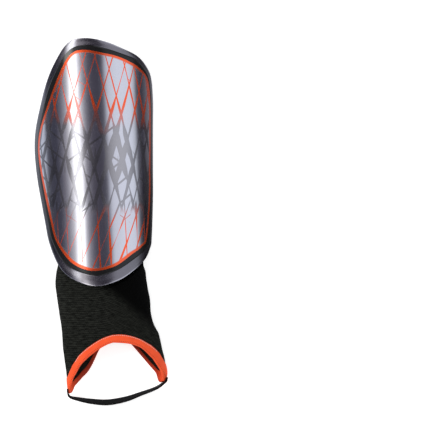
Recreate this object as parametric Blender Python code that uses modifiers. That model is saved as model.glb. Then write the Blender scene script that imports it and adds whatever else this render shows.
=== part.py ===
"""Soccer shin guard for one leg, with a back strap and a knitted ankle sleeve under a stirrup band.

It lies on its back with the plate up. X runs across the leg, Y towards the knee, and Z up out of the shin.
Everything is first laid out from the middle of the plate, with the floor at z = 0, and then moved so that the
origin is the middle of the whole guard on the floor.
"""

import math

import bmesh
import bpy
from mathutils import Vector
from mathutils.bvhtree import BVHTree

# The hard plate
SHELL_LENGTH = 0.2332
SHELL_WIDTH = 0.1111
SHELL_DEPTH = 0.0400
SHELL_WALL = 0.0020
FLANGE_WIDTH = 0.0094
FLANGE_STEP = 0.0006
STEP_RAMP = 0.0012

# The moulded foam under it
FOAM_THICKNESS = 0.0034
RIM_FOAM_THICKNESS = 0.0058
LAND_WIDTH = 0.0078
LAND_RAMP = 0.0026

# The strap across the back of the leg
STRAP_WIDTH = 0.0285
STRAP_THICKNESS = 0.0013
STRAP_LEFT_STATION = 0.556
STRAP_RIGHT_STATION = 0.349
STRAP_BOW = 0.0120
STRAP_LAP = 0.0060
TAB_LENGTH = 0.0672
TAB_WIDTH = 0.0300
TAB_THICKNESS = 0.0018
TAB_CENTRE = 0.500

# The ankle sleeve, its binding and the stirrup
SLEEVE_LENGTH = 0.1017
SLEEVE_WALL = 0.0014
SLEEVE_SEAM = 0.0046
SLEEVE_CROWN = 0.0362
SLEEVE_FOLD_HEIGHT = 0.0105
PANEL_RISE = 0.0560
BINDING_THICKNESS = 0.0026
STIRRUP_WIDTH = 0.0100
STIRRUP_THICKNESS = 0.0013
STIRRUP_HEIGHT = 0.0052

# Clearance between pieces that touch on the real guard, and how far round a place it is looked for
GAP = 0.0003
STRAP_REACH = 0.0028
SLEEVE_REACH = 0.0038

HALF_LENGTH = SHELL_LENGTH / 2
HALF_WIDTH = SHELL_WIDTH / 2
RADIUS = (HALF_WIDTH**2 + SHELL_DEPTH**2) / (2 * SHELL_DEPTH)
FOAM_TOP = SHELL_WALL + GAP
FOAM_FIELD = FOAM_TOP + FOAM_THICKNESS
FOAM_RIM = FOAM_TOP + RIM_FOAM_THICKNESS
EDGE_COSINE = 1 - SHELL_DEPTH / RADIUS
LAND_HEIGHT = max(STRAP_THICKNESS, SLEEVE_WALL) + 2 * GAP
AXIS_HEIGHT = LAND_HEIGHT - (RADIUS - FOAM_RIM) * EDGE_COSINE
BINDING_BULGE = (BINDING_THICKNESS - SLEEVE_WALL) / 2

# How finely the pieces are divided
OUTLINE_STEPS = 24
AROUND_SHELL = 72
FIELD_RINGS = (0.88, 0.75, 0.62, 0.49, 0.36, 0.24, 0.12)
AROUND_SLEEVE = 48
SLEEVE_ROWS = 15
BINDING_ROWS = 3
STRAP_STEPS = 10
STRAP_ROWS = 4
STIRRUP_STEPS = 40
CEILING_RAYS = 8
EDGE_TRIES = 6
SHARP_ANGLE = 35.0

# The plate's outline clockwise from the top: across and along in shares of half its width and half its
# length, and the flange's width there in shares of FLANGE_WIDTH
OUTLINE = (
    {"across": -0.096, "along": 1.000, "flange": 0.68},
    {"across": 0.175, "along": 0.976, "flange": 0.65},
    {"across": 0.463, "along": 0.922, "flange": 0.53},
    {"across": 0.734, "along": 0.856, "flange": 0.40},
    {"across": 0.886, "along": 0.773, "flange": 0.30},
    {"across": 0.970, "along": 0.676, "flange": 0.20},
    {"across": 1.000, "along": 0.498, "flange": 0.13},
    {"across": 1.000, "along": 0.256, "flange": 0.10},
    {"across": 1.000, "along": -0.026, "flange": 0.10},
    {"across": 1.000, "along": -0.308, "flange": 0.12},
    {"across": 0.979, "along": -0.615, "flange": 0.16},
    {"across": 0.955, "along": -0.690, "flange": 0.30},
    {"across": 0.843, "along": -0.800, "flange": 0.78},
    {"across": 0.547, "along": -0.921, "flange": 0.96},
    {"across": 0.294, "along": -0.977, "flange": 1.00},
    {"across": 0.057, "along": -1.000, "flange": 1.00},
    {"across": -0.170, "along": -0.982, "flange": 1.00},
    {"across": -0.429, "along": -0.921, "flange": 0.86},
    {"across": -0.612, "along": -0.820, "flange": 0.58},
    {"across": -0.754, "along": -0.650, "flange": 0.35},
    {"across": -0.823, "along": -0.485, "flange": 0.28},
    {"across": -0.891, "along": -0.308, "flange": 0.28},
    {"across": -0.950, "along": -0.147, "flange": 0.26},
    {"across": -0.989, "along": 0.015, "flange": 0.24},
    {"across": -1.000, "along": 0.144, "flange": 0.24},
    {"across": -0.979, "along": 0.273, "flange": 0.28},
    {"across": -0.916, "along": 0.426, "flange": 0.30},
    {"across": -0.825, "along": 0.603, "flange": 0.33},
    {"across": -0.727, "along": 0.735, "flange": 0.42},
    {"across": -0.600, "along": 0.856, "flange": 0.50},
    {"across": -0.485, "along": 0.938, "flange": 0.62},
    {"across": -0.332, "along": 0.990, "flange": 0.73},
)

# The sleeve's sections from its top: drop below the plate's end in shares of SLEEVE_LENGTH, its two side
# folds in shares of half the plate's width, and the height of its crown in shares of SLEEVE_CROWN
SECTIONS = (
    {"drop": -0.562, "left": -0.775, "right": 0.970, "crown": 1.00},
    {"drop": -0.386, "left": -0.735, "right": 0.943, "crown": 1.00},
    {"drop": -0.220, "left": -0.612, "right": 0.838, "crown": 1.00},
    {"drop": -0.128, "left": -0.634, "right": 0.876, "crown": 1.00},
    {"drop": -0.026, "left": -0.649, "right": 0.903, "crown": 0.99},
    {"drop": 0.131, "left": -0.617, "right": 0.950, "crown": 0.93},
    {"drop": 0.251, "left": -0.583, "right": 0.970, "crown": 0.87},
    {"drop": 0.362, "left": -0.552, "right": 1.021, "crown": 0.81},
    {"drop": 0.445, "left": -0.536, "right": 1.099, "crown": 0.77},
    {"drop": 0.584, "left": -0.518, "right": 1.148, "crown": 0.71},
    {"drop": 0.695, "left": -0.492, "right": 1.185, "crown": 0.66},
    {"drop": 0.806, "left": -0.454, "right": 1.226, "crown": 0.60},
    {"drop": 0.889, "left": -0.440, "right": 1.190, "crown": 0.55},
    {"drop": 1.000, "left": -0.425, "right": 1.150, "crown": 0.50},
)

# The lower opening: the binding's upper and lower edge on the front and back walls, as drops in shares of
# SLEEVE_LENGTH, at places across the sleeve from its left fold at -1 to its right fold at 1
HEM = (
    {"across": -1.00, "front_up": 0.852, "front_low": 0.972, "back_up": 0.852, "back_low": 0.972},
    {"across": -0.85, "front_up": 0.723, "front_low": 0.871, "back_up": 0.815, "back_low": 0.935},
    {"across": -0.70, "front_up": 0.640, "front_low": 0.741, "back_up": 0.750, "back_low": 0.865},
    {"across": -0.50, "front_up": 0.566, "front_low": 0.663, "back_up": 0.655, "back_low": 0.760},
    {"across": -0.25, "front_up": 0.497, "front_low": 0.579, "back_up": 0.505, "back_low": 0.585},
    {"across": 0.00, "front_up": 0.455, "front_low": 0.529, "back_up": 0.405, "back_low": 0.467},
    {"across": 0.10, "front_up": 0.448, "front_low": 0.527, "back_up": 0.388, "back_low": 0.450},
    {"across": 0.20, "front_up": 0.445, "front_low": 0.529, "back_up": 0.399, "back_low": 0.463},
    {"across": 0.40, "front_up": 0.458, "front_low": 0.541, "back_up": 0.464, "back_low": 0.535},
    {"across": 0.60, "front_up": 0.490, "front_low": 0.589, "back_up": 0.570, "back_low": 0.665},
    {"across": 0.80, "front_up": 0.545, "front_low": 0.695, "back_up": 0.675, "back_low": 0.797},
    {"across": 0.90, "front_up": 0.589, "front_low": 0.774, "back_up": 0.705, "back_low": 0.850},
    {"across": 1.00, "front_up": 0.695, "front_low": 0.889, "back_up": 0.695, "back_low": 0.889},
)

# The stirrup's route between the two folds: across in shares of half the plate's width, drop in shares of
# SLEEVE_LENGTH, height of its middle in shares of STIRRUP_HEIGHT, and how far its upper edge leans outward
STIRRUP = (
    {"across": -0.400, "drop": 1.024, "height": 1.30, "lean": 8.0},
    {"across": -0.250, "drop": 1.052, "height": 1.10, "lean": 17.0},
    {"across": -0.028, "drop": 1.068, "height": 1.00, "lean": 24.0},
    {"across": 0.243, "drop": 1.068, "height": 1.00, "lean": 26.0},
    {"across": 0.547, "drop": 1.038, "height": 1.00, "lean": 22.0},
    {"across": 0.784, "drop": 0.998, "height": 1.05, "lean": 16.0},
    {"across": 0.987, "drop": 0.958, "height": 1.20, "lean": 10.0},
    {"across": 1.110, "drop": 0.930, "height": 1.40, "lean": 6.0},
)
STIRRUP_LEFT_STATIONS = (0.760, 0.860, 0.950)
STIRRUP_RIGHT_STATIONS = (0.872, 0.800, 0.730)

SHELL_COLOUR = (0.400, 0.390, 0.450, 1.0)
FOAM_COLOUR = (0.030, 0.030, 0.031, 1.0)
ELASTIC_COLOUR = (0.020, 0.020, 0.021, 1.0)
KNIT_COLOUR = (0.024, 0.026, 0.022, 1.0)
BINDING_COLOUR = (0.900, 0.115, 0.035, 1.0)


def between(low, high, share):
    """The value that lies that share of the way from low to high."""
    return low + (high - low) * share


def ease(start, end, value):
    """A smooth rise from 0 at start to 1 at end."""
    share = min(1.0, max(0.0, (value - start) / (end - start)))
    return share * share * (3 - 2 * share)


def hermite(before, low, high, after, share):
    """A smooth value between low and high that heads on from before and towards after."""
    start = (high - before) / 2
    end = (after - low) / 2
    cubed = share**3
    squared = share**2
    return (
        (2 * cubed - 3 * squared + 1) * low
        + (cubed - 2 * squared + share) * start
        + (3 * squared - 2 * cubed) * high
        + (cubed - squared) * end
    )


def from_table(rows, key, place, column):
    """The column's value at a place along the key column, on a smooth curve through the rows."""
    last = len(rows) - 1
    if place <= rows[0][key]:
        return rows[0][column]
    for i in range(last):
        if place <= rows[i + 1][key]:
            share = (place - rows[i][key]) / (rows[i + 1][key] - rows[i][key])
            before = rows[max(i - 1, 0)][column]
            after = rows[min(i + 2, last)][column]
            return hermite(before, rows[i][column], rows[i + 1][column], after, share)
    return rows[last][column]


def outline_points(count):
    """Even steps round the plate's outline, each with its inward direction and its flange width."""
    fine = []
    rows = len(OUTLINE)
    for i in range(rows):
        four = [OUTLINE[(i + k) % rows] for k in (-1, 0, 1, 2)]
        for k in range(OUTLINE_STEPS):
            share = k / OUTLINE_STEPS
            across = hermite(*(row["across"] for row in four), share) * HALF_WIDTH
            along = hermite(*(row["along"] for row in four), share) * HALF_LENGTH
            flange = hermite(*(row["flange"] for row in four), share) * FLANGE_WIDTH
            fine.append((Vector((across, along)), flange))
    steps = [(fine[(i + 1) % len(fine)][0] - fine[i][0]).length for i in range(len(fine))]
    total = sum(steps)
    found = []
    walked = 0.0
    i = 0
    for k in range(count):
        target = total * k / count
        while walked + steps[i] < target:
            walked += steps[i]
            i += 1
        share = (target - walked) / steps[i]
        here = fine[i]
        after = fine[(i + 1) % len(fine)]
        found.append((here[0].lerp(after[0], share), between(here[1], after[1], share)))
    points = []
    for k in range(count):
        chord = found[(k + 1) % count][0] - found[k - 1][0]
        inward = Vector((chord.y, -chord.x)).normalized()
        points.append({"place": found[k][0], "inward": inward, "flange": found[k][1]})
    return points


def on_arch(place, inset):
    """A point under a place on the plate's outer face, that far inward along the face's normal."""
    cosine = math.sqrt(max(0.0, 1 - (place.x / RADIUS) ** 2))
    height = AXIS_HEIGHT + (RADIUS - inset) * cosine
    return Vector((place.x * (1 - inset / RADIUS), place.y, height))


def under_arch(place, inset):
    """A point straight under or over a place seen from above, on the arch that lies inset below the face."""
    arch = RADIUS - inset
    return Vector((place.x, place.y, AXIS_HEIGHT + math.sqrt(max(0.0, arch**2 - place.x**2))))


def add_object(name, mesh, colour, metallic=0.0, roughness=0.7):
    """Put a mesh in the guard's collection as one named piece with its own material."""
    material = bpy.data.materials.new(name + "_material")
    material.use_nodes = True
    shader = material.node_tree.nodes["Principled BSDF"]
    shader.inputs["Base Color"].default_value = colour
    shader.inputs["Metallic"].default_value = metallic
    shader.inputs["Roughness"].default_value = roughness
    mesh.materials.append(material)
    mesh.shade_smooth()
    mesh.set_sharp_from_angle(angle=math.radians(SHARP_ANGLE))
    piece = bpy.data.objects.new(name, mesh)
    bpy.data.collections["shin_guard"].objects.link(piece)
    return piece


def loft(name, rings):
    """A closed mesh through rings of as many points each, with a single point at both ends."""
    net = bmesh.new()
    rows = [[net.verts.new(point) for point in ring] for ring in rings]
    for above, below in zip(rows, rows[1:]):
        count = max(len(above), len(below))
        for i in range(count):
            j = (i + 1) % count
            corners = [above[i % len(above)], above[j % len(above)]]
            corners += [below[j % len(below)], below[i % len(below)]]
            face = [corner for k, corner in enumerate(corners) if corner not in corners[:k]]
            net.faces.new(face)
    bmesh.ops.recalc_face_normals(net, faces=net.faces)
    mesh = bpy.data.meshes.new(name)
    net.to_mesh(mesh)
    net.free()
    return mesh


def grid_sheet(name, rows, closed):
    """An open mesh through rows of as many points each; closed joins the ends of each row."""
    net = bmesh.new()
    lines = [[net.verts.new(point) for point in row] for row in rows]
    count = len(rows[0])
    for above, below in zip(lines, lines[1:]):
        for i in range(count if closed else count - 1):
            j = (i + 1) % count
            net.faces.new((above[i], above[j], below[j], below[i]))
    mesh = bpy.data.meshes.new(name)
    net.to_mesh(mesh)
    net.free()
    return mesh


def thicken(piece, thickness, offset):
    """Give an open sheet its wall."""
    wall = piece.modifiers.new("wall", "SOLIDIFY")
    wall.thickness = thickness
    wall.offset = offset
    wall.use_even_offset = True


def field_rings(ring, height_of):
    """Rings shrinking from a ring's plan to the plate's middle, and the middle point itself."""
    rings = [[height_of(place * share) for place in ring] for share in FIELD_RINGS]
    rings.append([height_of(Vector((0.0, 0.0)))])
    return rings


def make_shell(outline):
    """The hard plate: smooth field, a small step down to its flange, and a smooth inner face."""
    edge = [point["place"] for point in outline]
    foot = [point["place"] + point["inward"] * point["flange"] for point in outline]
    top = [point["place"] + point["inward"] * (point["flange"] + STEP_RAMP) for point in outline]
    outer = field_rings(top, lambda place: on_arch(place, 0.0))
    rings = outer[::-1]
    rings.append([on_arch(place, 0.0) for place in top])
    rings.append([on_arch(place, FLANGE_STEP) for place in foot])
    rings.append([on_arch(place, FLANGE_STEP) for place in edge])
    rings.append([on_arch(place, SHELL_WALL) for place in edge])
    rings.append([on_arch(place, SHELL_WALL) for place in top])
    rings += field_rings(top, lambda place: on_arch(place, SHELL_WALL))
    return add_object("shell", loft("shell", rings), SHELL_COLOUR, 0.9, 0.25)


def make_foam_liner(outline):
    """The foam: flat land all round its edge, a ramp, and a thinner recessed field."""
    edge = [point["place"] for point in outline]
    top = [point["place"] + point["inward"] * (point["flange"] + STEP_RAMP) for point in outline]
    land_out = []
    land_in = []
    recess = []
    for point in outline:
        above = on_arch(point["place"], FOAM_TOP)
        below = on_arch(point["place"], FOAM_RIM)
        corner = Vector((above.x, above.y, below.z))
        inward = point["inward"].to_3d()
        land_out.append(corner)
        land_in.append(corner + inward * LAND_WIDTH)
        recess.append((corner + inward * (LAND_WIDTH + LAND_RAMP)).to_2d())
    rings = field_rings(recess, lambda place: under_arch(place, FOAM_FIELD))[::-1]
    rings.append([under_arch(place, FOAM_FIELD) for place in recess])
    rings += [land_in, land_out]
    rings.append([on_arch(place, FOAM_TOP) for place in edge])
    rings.append([on_arch(place, FOAM_TOP) for place in top])
    rings += field_rings(top, lambda place: on_arch(place, FOAM_TOP))
    return add_object("foam_liner", loft("foam_liner", rings), FOAM_COLOUR, 0.0, 0.6)


class Ceiling:
    """How high a piece can lie at a place before it meets the foam liner's underside."""

    def __init__(self, liner):
        mesh = liner.data
        places = [vertex.co.copy() for vertex in mesh.vertices]
        faces = [tuple(face.vertices) for face in mesh.polygons]
        self.tree = BVHTree.FromPolygons(places, faces)

    def height(self, x, y, reach):
        """The liner's lowest point above a circle of that reach round the place, or infinity beside it."""
        lowest = math.inf
        for k in range(CEILING_RAYS + 1):
            aside = reach if k else 0.0
            turn = math.tau * k / CEILING_RAYS
            start = Vector((x + aside * math.cos(turn), y + aside * math.sin(turn), -SHELL_DEPTH))
            hit = self.tree.ray_cast(start, Vector((0.0, 0.0, 1.0)))[0]
            if hit is not None:
                lowest = min(lowest, hit.z)
        return lowest


def outline_across(outline, along, side):
    """Where the plate's outline is at a station along it, on the right side for 1 and the left for -1."""
    best = 0.0
    count = len(outline)
    for i in range(count):
        here = outline[i]["place"]
        after = outline[(i + 1) % count]["place"]
        if (here.y - along) * (after.y - along) <= 0 and here.y != after.y:
            across = between(here.x, after.x, (along - here.y) / (after.y - here.y))
            best = max(best, across * side)
    return best * side


def outline_bottom(outline, across):
    """How far down the plate's lower edge reaches at a place across it."""
    lowest = 0.0
    count = len(outline)
    for i in range(count):
        here = outline[i]["place"]
        after = outline[(i + 1) % count]["place"]
        if (here.x - across) * (after.x - across) <= 0 and here.x != after.x:
            along = between(here.y, after.y, (across - here.x) / (after.x - here.x))
            lowest = min(lowest, along)
    return lowest


class Strap:
    """The surface that the strap's pieces follow, from the left land over the hollow to the right land."""

    def __init__(self, outline, ceiling):
        self.ceiling = ceiling
        left_y = STRAP_LEFT_STATION * HALF_LENGTH
        right_y = STRAP_RIGHT_STATION * HALF_LENGTH
        self.start = Vector((outline_across(outline, left_y, -1), left_y))
        self.end = Vector((outline_across(outline, right_y, 1), right_y))
        self.way = (self.end - self.start).normalized()
        self.aside = Vector((-self.way.y, self.way.x))
        self.outline = outline

    def edge(self, aside, side):
        """Where a line along the strap meets the foam's outer edge, as a distance from the strap's start."""
        place = (self.start if side < 0 else self.end) + self.aside * aside
        for _ in range(EDGE_TRIES):
            across = outline_across(self.outline, place.y, side) * (1 - FOAM_TOP / RADIUS)
            place += self.way * ((across - place.x) / self.way.x)
        return (place - self.start).dot(self.way)

    def seat(self, aside, side):
        """The underside of the strap where it lies on the land."""
        at = self.edge(aside, side) - side * LAND_WIDTH / 2
        place = self.start + self.way * at + self.aside * aside
        return self.ceiling.height(place.x, place.y, STRAP_REACH) - 2 * GAP - STRAP_THICKNESS

    def point(self, aside, at):
        """The strap's underside at a distance along it and a distance aside of its middle."""
        low = self.edge(aside, -1) + LAND_WIDTH
        high = self.edge(aside, 1) - LAND_WIDTH
        share = min(1.0, max(0.0, (at - low) / (high - low)))
        height = between(self.seat(aside, -1), self.seat(aside, 1), share)
        height += STRAP_BOW * 4 * share * (1 - share)
        place = self.start + self.way * at + self.aside * aside
        roof = self.ceiling.height(place.x, place.y, STRAP_REACH)
        height = min(height, roof - 2 * GAP - STRAP_THICKNESS)
        return Vector((place.x, place.y, height))

    def length(self):
        """The distance between the foam's two outer edges along the strap's middle."""
        return self.edge(0.0, 1) - self.edge(0.0, -1)


def make_elastic(name, strap, side):
    """One end of the strap, from the land's outer edge to behind the tab."""
    middle = strap.edge(0.0, -1) + strap.length() * TAB_CENTRE
    inner = middle + side * (TAB_LENGTH / 2 - STRAP_LAP)
    rows = []
    for i in range(STRAP_ROWS + 1):
        aside = STRAP_WIDTH * (0.5 - i / STRAP_ROWS)
        outer = strap.edge(aside, side)
        ends = (outer, inner) if side < 0 else (inner, outer)
        rows.append([strap.point(aside, between(*ends, k / STRAP_STEPS)) for k in range(STRAP_STEPS + 1)])
    piece = add_object(name, grid_sheet(name, rows, False), ELASTIC_COLOUR, 0.0, 0.85)
    thicken(piece, STRAP_THICKNESS, -1.0)
    return piece


def make_tab(strap):
    """The stiff patch that lies on the elastics' inner ends."""
    middle = strap.edge(0.0, -1) + strap.length() * TAB_CENTRE
    drop = Vector((0.0, 0.0, 2 * GAP + TAB_THICKNESS))
    rows = []
    for i in range(STRAP_ROWS + 1):
        aside = TAB_WIDTH * (0.5 - i / STRAP_ROWS)
        row = []
        for k in range(STRAP_STEPS + 1):
            at = middle + TAB_LENGTH * (k / STRAP_STEPS - 0.5)
            row.append(strap.point(aside, at) - drop)
        rows.append(row)
    piece = add_object("strap_tab", grid_sheet("strap_tab", rows, False), ELASTIC_COLOUR, 0.0, 0.9)
    thicken(piece, TAB_THICKNESS, -1.0)
    return piece


class Sleeve:
    """The knitted tube's outer face, at any place round it and any drop below the plate's lower end."""

    FLATNESS = 3.2
    SIDE_SHARE = 0.05
    SLANT = 1.6
    SEAM_DROP = -0.1
    BULGE_START = 0.1
    BULGE_END = 0.35

    def __init__(self, outline, ceiling):
        self.outline = outline
        self.ceiling = ceiling

    def fold(self, drop, column):
        """Where a side fold is at a drop, across the guard."""
        return from_table(SECTIONS, "drop", drop, column) * HALF_WIDTH

    def across(self, turn):
        """How far across its section a place round the tube is, from -1 to 1."""
        share = math.cos(turn)
        if math.sin(turn) >= 0:
            return share
        return math.copysign(abs(share) ** (2 / self.FLATNESS), share)

    def top(self, turn):
        """The drop at which a place round the tube starts: at the plate's edge in front, higher behind."""
        panel = -PANEL_RISE / SLEEVE_LENGTH
        if math.sin(turn) < 0:
            return panel
        share = self.across(turn)
        left = self.fold(self.SEAM_DROP, "left")
        right = self.fold(self.SEAM_DROP, "right")
        across = between(left, right, (share + 1) / 2)
        edge = (-HALF_LENGTH - outline_bottom(self.outline, across) - SLEEVE_SEAM) / SLEEVE_LENGTH
        return between(panel, edge, ease(0.0, self.SIDE_SHARE, 1 - abs(share)))

    def hem(self, turn, edge):
        """The drop of the binding's upper or lower edge at a place round the tube."""
        wall = "front" if math.sin(turn) >= 0 else "back"
        return from_table(HEM, "across", self.across(turn), wall + "_" + edge)

    def knit_end(self, turn):
        """The drop at which the knit stops short of the binding, with the clearance square to its edge."""
        step = math.tau / AROUND_SLEEVE / 2
        drops = [self.hem(turn + way * step, "up") * SLEEVE_LENGTH for way in (-1, 1)]
        drop = self.hem(turn, "up")
        sides = [self.point(turn + way * step, drop).x for way in (-1, 1)]
        run = max(abs(sides[1] - sides[0]), GAP)
        return drop - 2 * GAP * math.hypot(1.0, (drops[1] - drops[0]) / run) / SLEEVE_LENGTH

    def point(self, turn, drop):
        """The outer face at a place round the tube and a drop."""
        share = self.across(turn)
        left = self.fold(drop, "left")
        right = self.fold(drop, "right")
        x = between(left, right, (share + 1) / 2)
        y = -HALF_LENGTH - drop * SLEEVE_LENGTH
        base = BINDING_BULGE * ease(self.BULGE_START, self.BULGE_END, drop)
        fold = base + SLEEVE_FOLD_HEIGHT
        roof = self.ceiling.height(x, y, SLEEVE_REACH) - 2 * GAP
        if math.sin(turn) >= 0:
            crown = from_table(SECTIONS, "drop", drop, "crown") * SLEEVE_CROWN
            z = min(between(fold, crown, math.sqrt(max(0.0, 1 - share**2))), roof)
        else:
            up = 1 - (1 - abs(share) ** self.FLATNESS) ** (1 / self.FLATNESS)
            z = between(base, min(fold, roof - SLEEVE_WALL * self.SLANT), up)
        return Vector((x, y, max(z, base)))

    def grid(self, starts, ends, count):
        """Rows of points round the tube between two edges."""
        turns = [math.tau * i / AROUND_SLEEVE for i in range(AROUND_SLEEVE)]
        rows = []
        for k in range(count + 1):
            rows.append([self.point(turn, between(starts(turn), ends(turn), k / count)) for turn in turns])
        return rows


def make_ankle_sleeve(sleeve):
    """The knitted tube, from under the liner to the binding."""
    rows = sleeve.grid(sleeve.top, sleeve.knit_end, SLEEVE_ROWS)
    piece = add_object("ankle_sleeve", grid_sheet("ankle_sleeve", rows, True), KNIT_COLOUR, 0.0, 0.95)
    thicken(piece, SLEEVE_WALL, -1.0)
    return piece


def make_hem_binding(sleeve):
    """The folded binding round the lower opening, a little proud of the knit on both faces."""
    upper = lambda turn: sleeve.hem(turn, "up")
    lower = lambda turn: sleeve.hem(turn, "low")
    rows = sleeve.grid(upper, lower, BINDING_ROWS)
    piece = add_object("hem_binding", grid_sheet("hem_binding", rows, True), BINDING_COLOUR, 0.0, 0.75)
    thicken(piece, BINDING_THICKNESS, 2 * BINDING_BULGE / BINDING_THICKNESS - 1)
    return piece


def stirrup_route(sleeve):
    """The stirrup's middle line and its lean, from outside the left fold round to outside the right one."""
    aside = BINDING_BULGE + GAP + STIRRUP_THICKNESS / 2
    fold = SLEEVE_FOLD_HEIGHT + BINDING_BULGE
    route = []
    for drop in STIRRUP_LEFT_STATIONS:
        route.append((sleeve.fold(drop, "left") - aside, drop, fold, 0.0))
    for row in STIRRUP:
        route.append((row["across"] * HALF_WIDTH, row["drop"], row["height"] * STIRRUP_HEIGHT, row["lean"]))
    for drop in STIRRUP_RIGHT_STATIONS:
        route.append((sleeve.fold(drop, "right") + aside, drop, fold, 0.0))
    return [(x, -HALF_LENGTH - drop * SLEEVE_LENGTH, z, lean) for x, drop, z, lean in route]


def make_stirrup(sleeve):
    """The elastic band under the foot, standing on its edge."""
    route = stirrup_route(sleeve)
    last = len(route) - 1
    line = []
    for k in range(STIRRUP_STEPS + 1):
        place = min(last * k / STIRRUP_STEPS, last - 1e-6)
        i = int(place)
        four = [route[max(i - 1, 0)], route[i], route[i + 1], route[min(i + 2, last)]]
        line.append([hermite(*(row[part] for row in four), place - i) for part in range(4)])
    rows = ([], [])
    for k, (x, y, z, lean) in enumerate(line):
        before = line[max(k - 1, 0)]
        after = line[min(k + 1, STIRRUP_STEPS)]
        along = Vector((after[0] - before[0], after[1] - before[1], 0.0)).normalized()
        outward = Vector((along.y, -along.x, 0.0))
        tilt = math.radians(lean)
        up = Vector((0.0, 0.0, math.cos(tilt))) + outward * math.sin(tilt)
        middle = Vector((x, y, z)) + outward * (STIRRUP_THICKNESS / 2)
        rows[0].append(middle + up * (STIRRUP_WIDTH / 2))
        rows[1].append(middle - up * (STIRRUP_WIDTH / 2))
    piece = add_object("stirrup", grid_sheet("stirrup", rows, False), ELASTIC_COLOUR, 0.0, 0.85)
    thicken(piece, STIRRUP_THICKNESS, -1.0)
    return piece


def settle(pieces):
    """Hang the pieces on one empty, moved so that the origin is their middle on the floor."""
    bpy.context.view_layer.update()
    graph = bpy.context.evaluated_depsgraph_get()
    corners = []
    for piece in pieces:
        whole = piece.evaluated_get(graph)
        corners += [whole.matrix_world @ vertex.co for vertex in whole.data.vertices]
    low = [min(corner[k] for corner in corners) for k in range(3)]
    high = [max(corner[k] for corner in corners) for k in range(3)]
    frame = bpy.data.objects.new("guard_frame", None)
    bpy.data.collections["shin_guard"].objects.link(frame)
    frame.location = (-(low[0] + high[0]) / 2, -(low[1] + high[1]) / 2, -low[2])
    for piece in pieces:
        piece.parent = frame


def main():
    """Clear the scene and build the guard."""
    for old in list(bpy.data.objects):
        bpy.data.objects.remove(old, do_unlink=True)
    bpy.context.scene.collection.children.link(bpy.data.collections.new("shin_guard"))
    outline = outline_points(AROUND_SHELL)
    shell = make_shell(outline)
    liner = make_foam_liner(outline)
    ceiling = Ceiling(liner)
    strap = Strap(outline, ceiling)
    sleeve = Sleeve(outline, ceiling)
    pieces = [
        shell,
        liner,
        make_elastic("strap_elastic_left", strap, -1),
        make_elastic("strap_elastic_right", strap, 1),
        make_tab(strap),
        make_ankle_sleeve(sleeve),
        make_hem_binding(sleeve),
        make_stirrup(sleeve),
    ]
    settle(pieces)


main()
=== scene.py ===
"""Looks of a soccer shin guard: a printed metallic plate on a moulded foam liner, with a back strap
and a knitted ankle sleeve that ends in a bound hem and a stirrup.

The guard lies on its back with the plate up. X runs across the leg, Y towards the knee, and Z up out of
the front of the shin. Each piece is laid out from the middle of the plate and then set down in the
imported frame.
"""

import logging
import math
from dataclasses import dataclass, field
from enum import Enum
from functools import reduce
from typing import Callable, NamedTuple, Sequence, Union

import bpy
import numpy as np
from mathutils import Matrix, Vector
from mathutils.bvhtree import BVHTree


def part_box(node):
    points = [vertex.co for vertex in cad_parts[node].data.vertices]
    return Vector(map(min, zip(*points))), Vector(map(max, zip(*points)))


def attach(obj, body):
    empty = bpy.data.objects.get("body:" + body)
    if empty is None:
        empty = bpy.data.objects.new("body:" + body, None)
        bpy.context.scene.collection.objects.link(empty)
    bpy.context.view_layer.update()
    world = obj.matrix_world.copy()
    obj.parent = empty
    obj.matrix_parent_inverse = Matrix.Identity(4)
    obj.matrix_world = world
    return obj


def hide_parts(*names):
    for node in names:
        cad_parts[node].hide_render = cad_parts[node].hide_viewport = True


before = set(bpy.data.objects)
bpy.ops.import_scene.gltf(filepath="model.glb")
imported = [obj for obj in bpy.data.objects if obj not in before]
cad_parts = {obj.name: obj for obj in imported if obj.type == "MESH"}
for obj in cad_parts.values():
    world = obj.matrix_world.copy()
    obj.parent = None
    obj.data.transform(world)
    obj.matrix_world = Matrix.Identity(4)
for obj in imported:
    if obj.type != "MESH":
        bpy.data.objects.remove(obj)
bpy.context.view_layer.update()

LOG = logging.getLogger("shin_guard")
PHOTO_PIXELS = 444
METRES_A_PIXEL = 0.00094
UP = Vector((0.0, 0.0, 1.0))
DOWN = Vector((0.0, 0.0, -1.0))
TINY = 1e-6
MILLIMETRES = 1000


def between(low: float, high: float, share: float) -> float:
    """The value that lies that share of the way from low to high."""
    return low + (high - low) * share


def ease(start: float, end: float, value: float) -> float:
    """A smooth rise from 0 at start to 1 at end."""
    share = min(1.0, max(0.0, (value - start) / (end - start)))
    return share * share * (3 - 2 * share)


def hermite(before: float, low: float, high: float, after: float, share: float) -> float:
    """A smooth value between low and high that heads on from before and towards after.

    Args:
        before: The value one step before low.
        low: The value at share 0.
        high: The value at share 1.
        after: The value one step after high.
        share: How far the place lies from low to high.

    Returns:
        The value there.
    """
    start = (high - before) / 2
    end = (after - low) / 2
    cubed = share**3
    squared = share**2
    return (
        (2 * cubed - 3 * squared + 1) * low
        + (cubed - 2 * squared + share) * start
        + (3 * squared - 2 * cubed) * high
        + (cubed - squared) * end
    )


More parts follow.
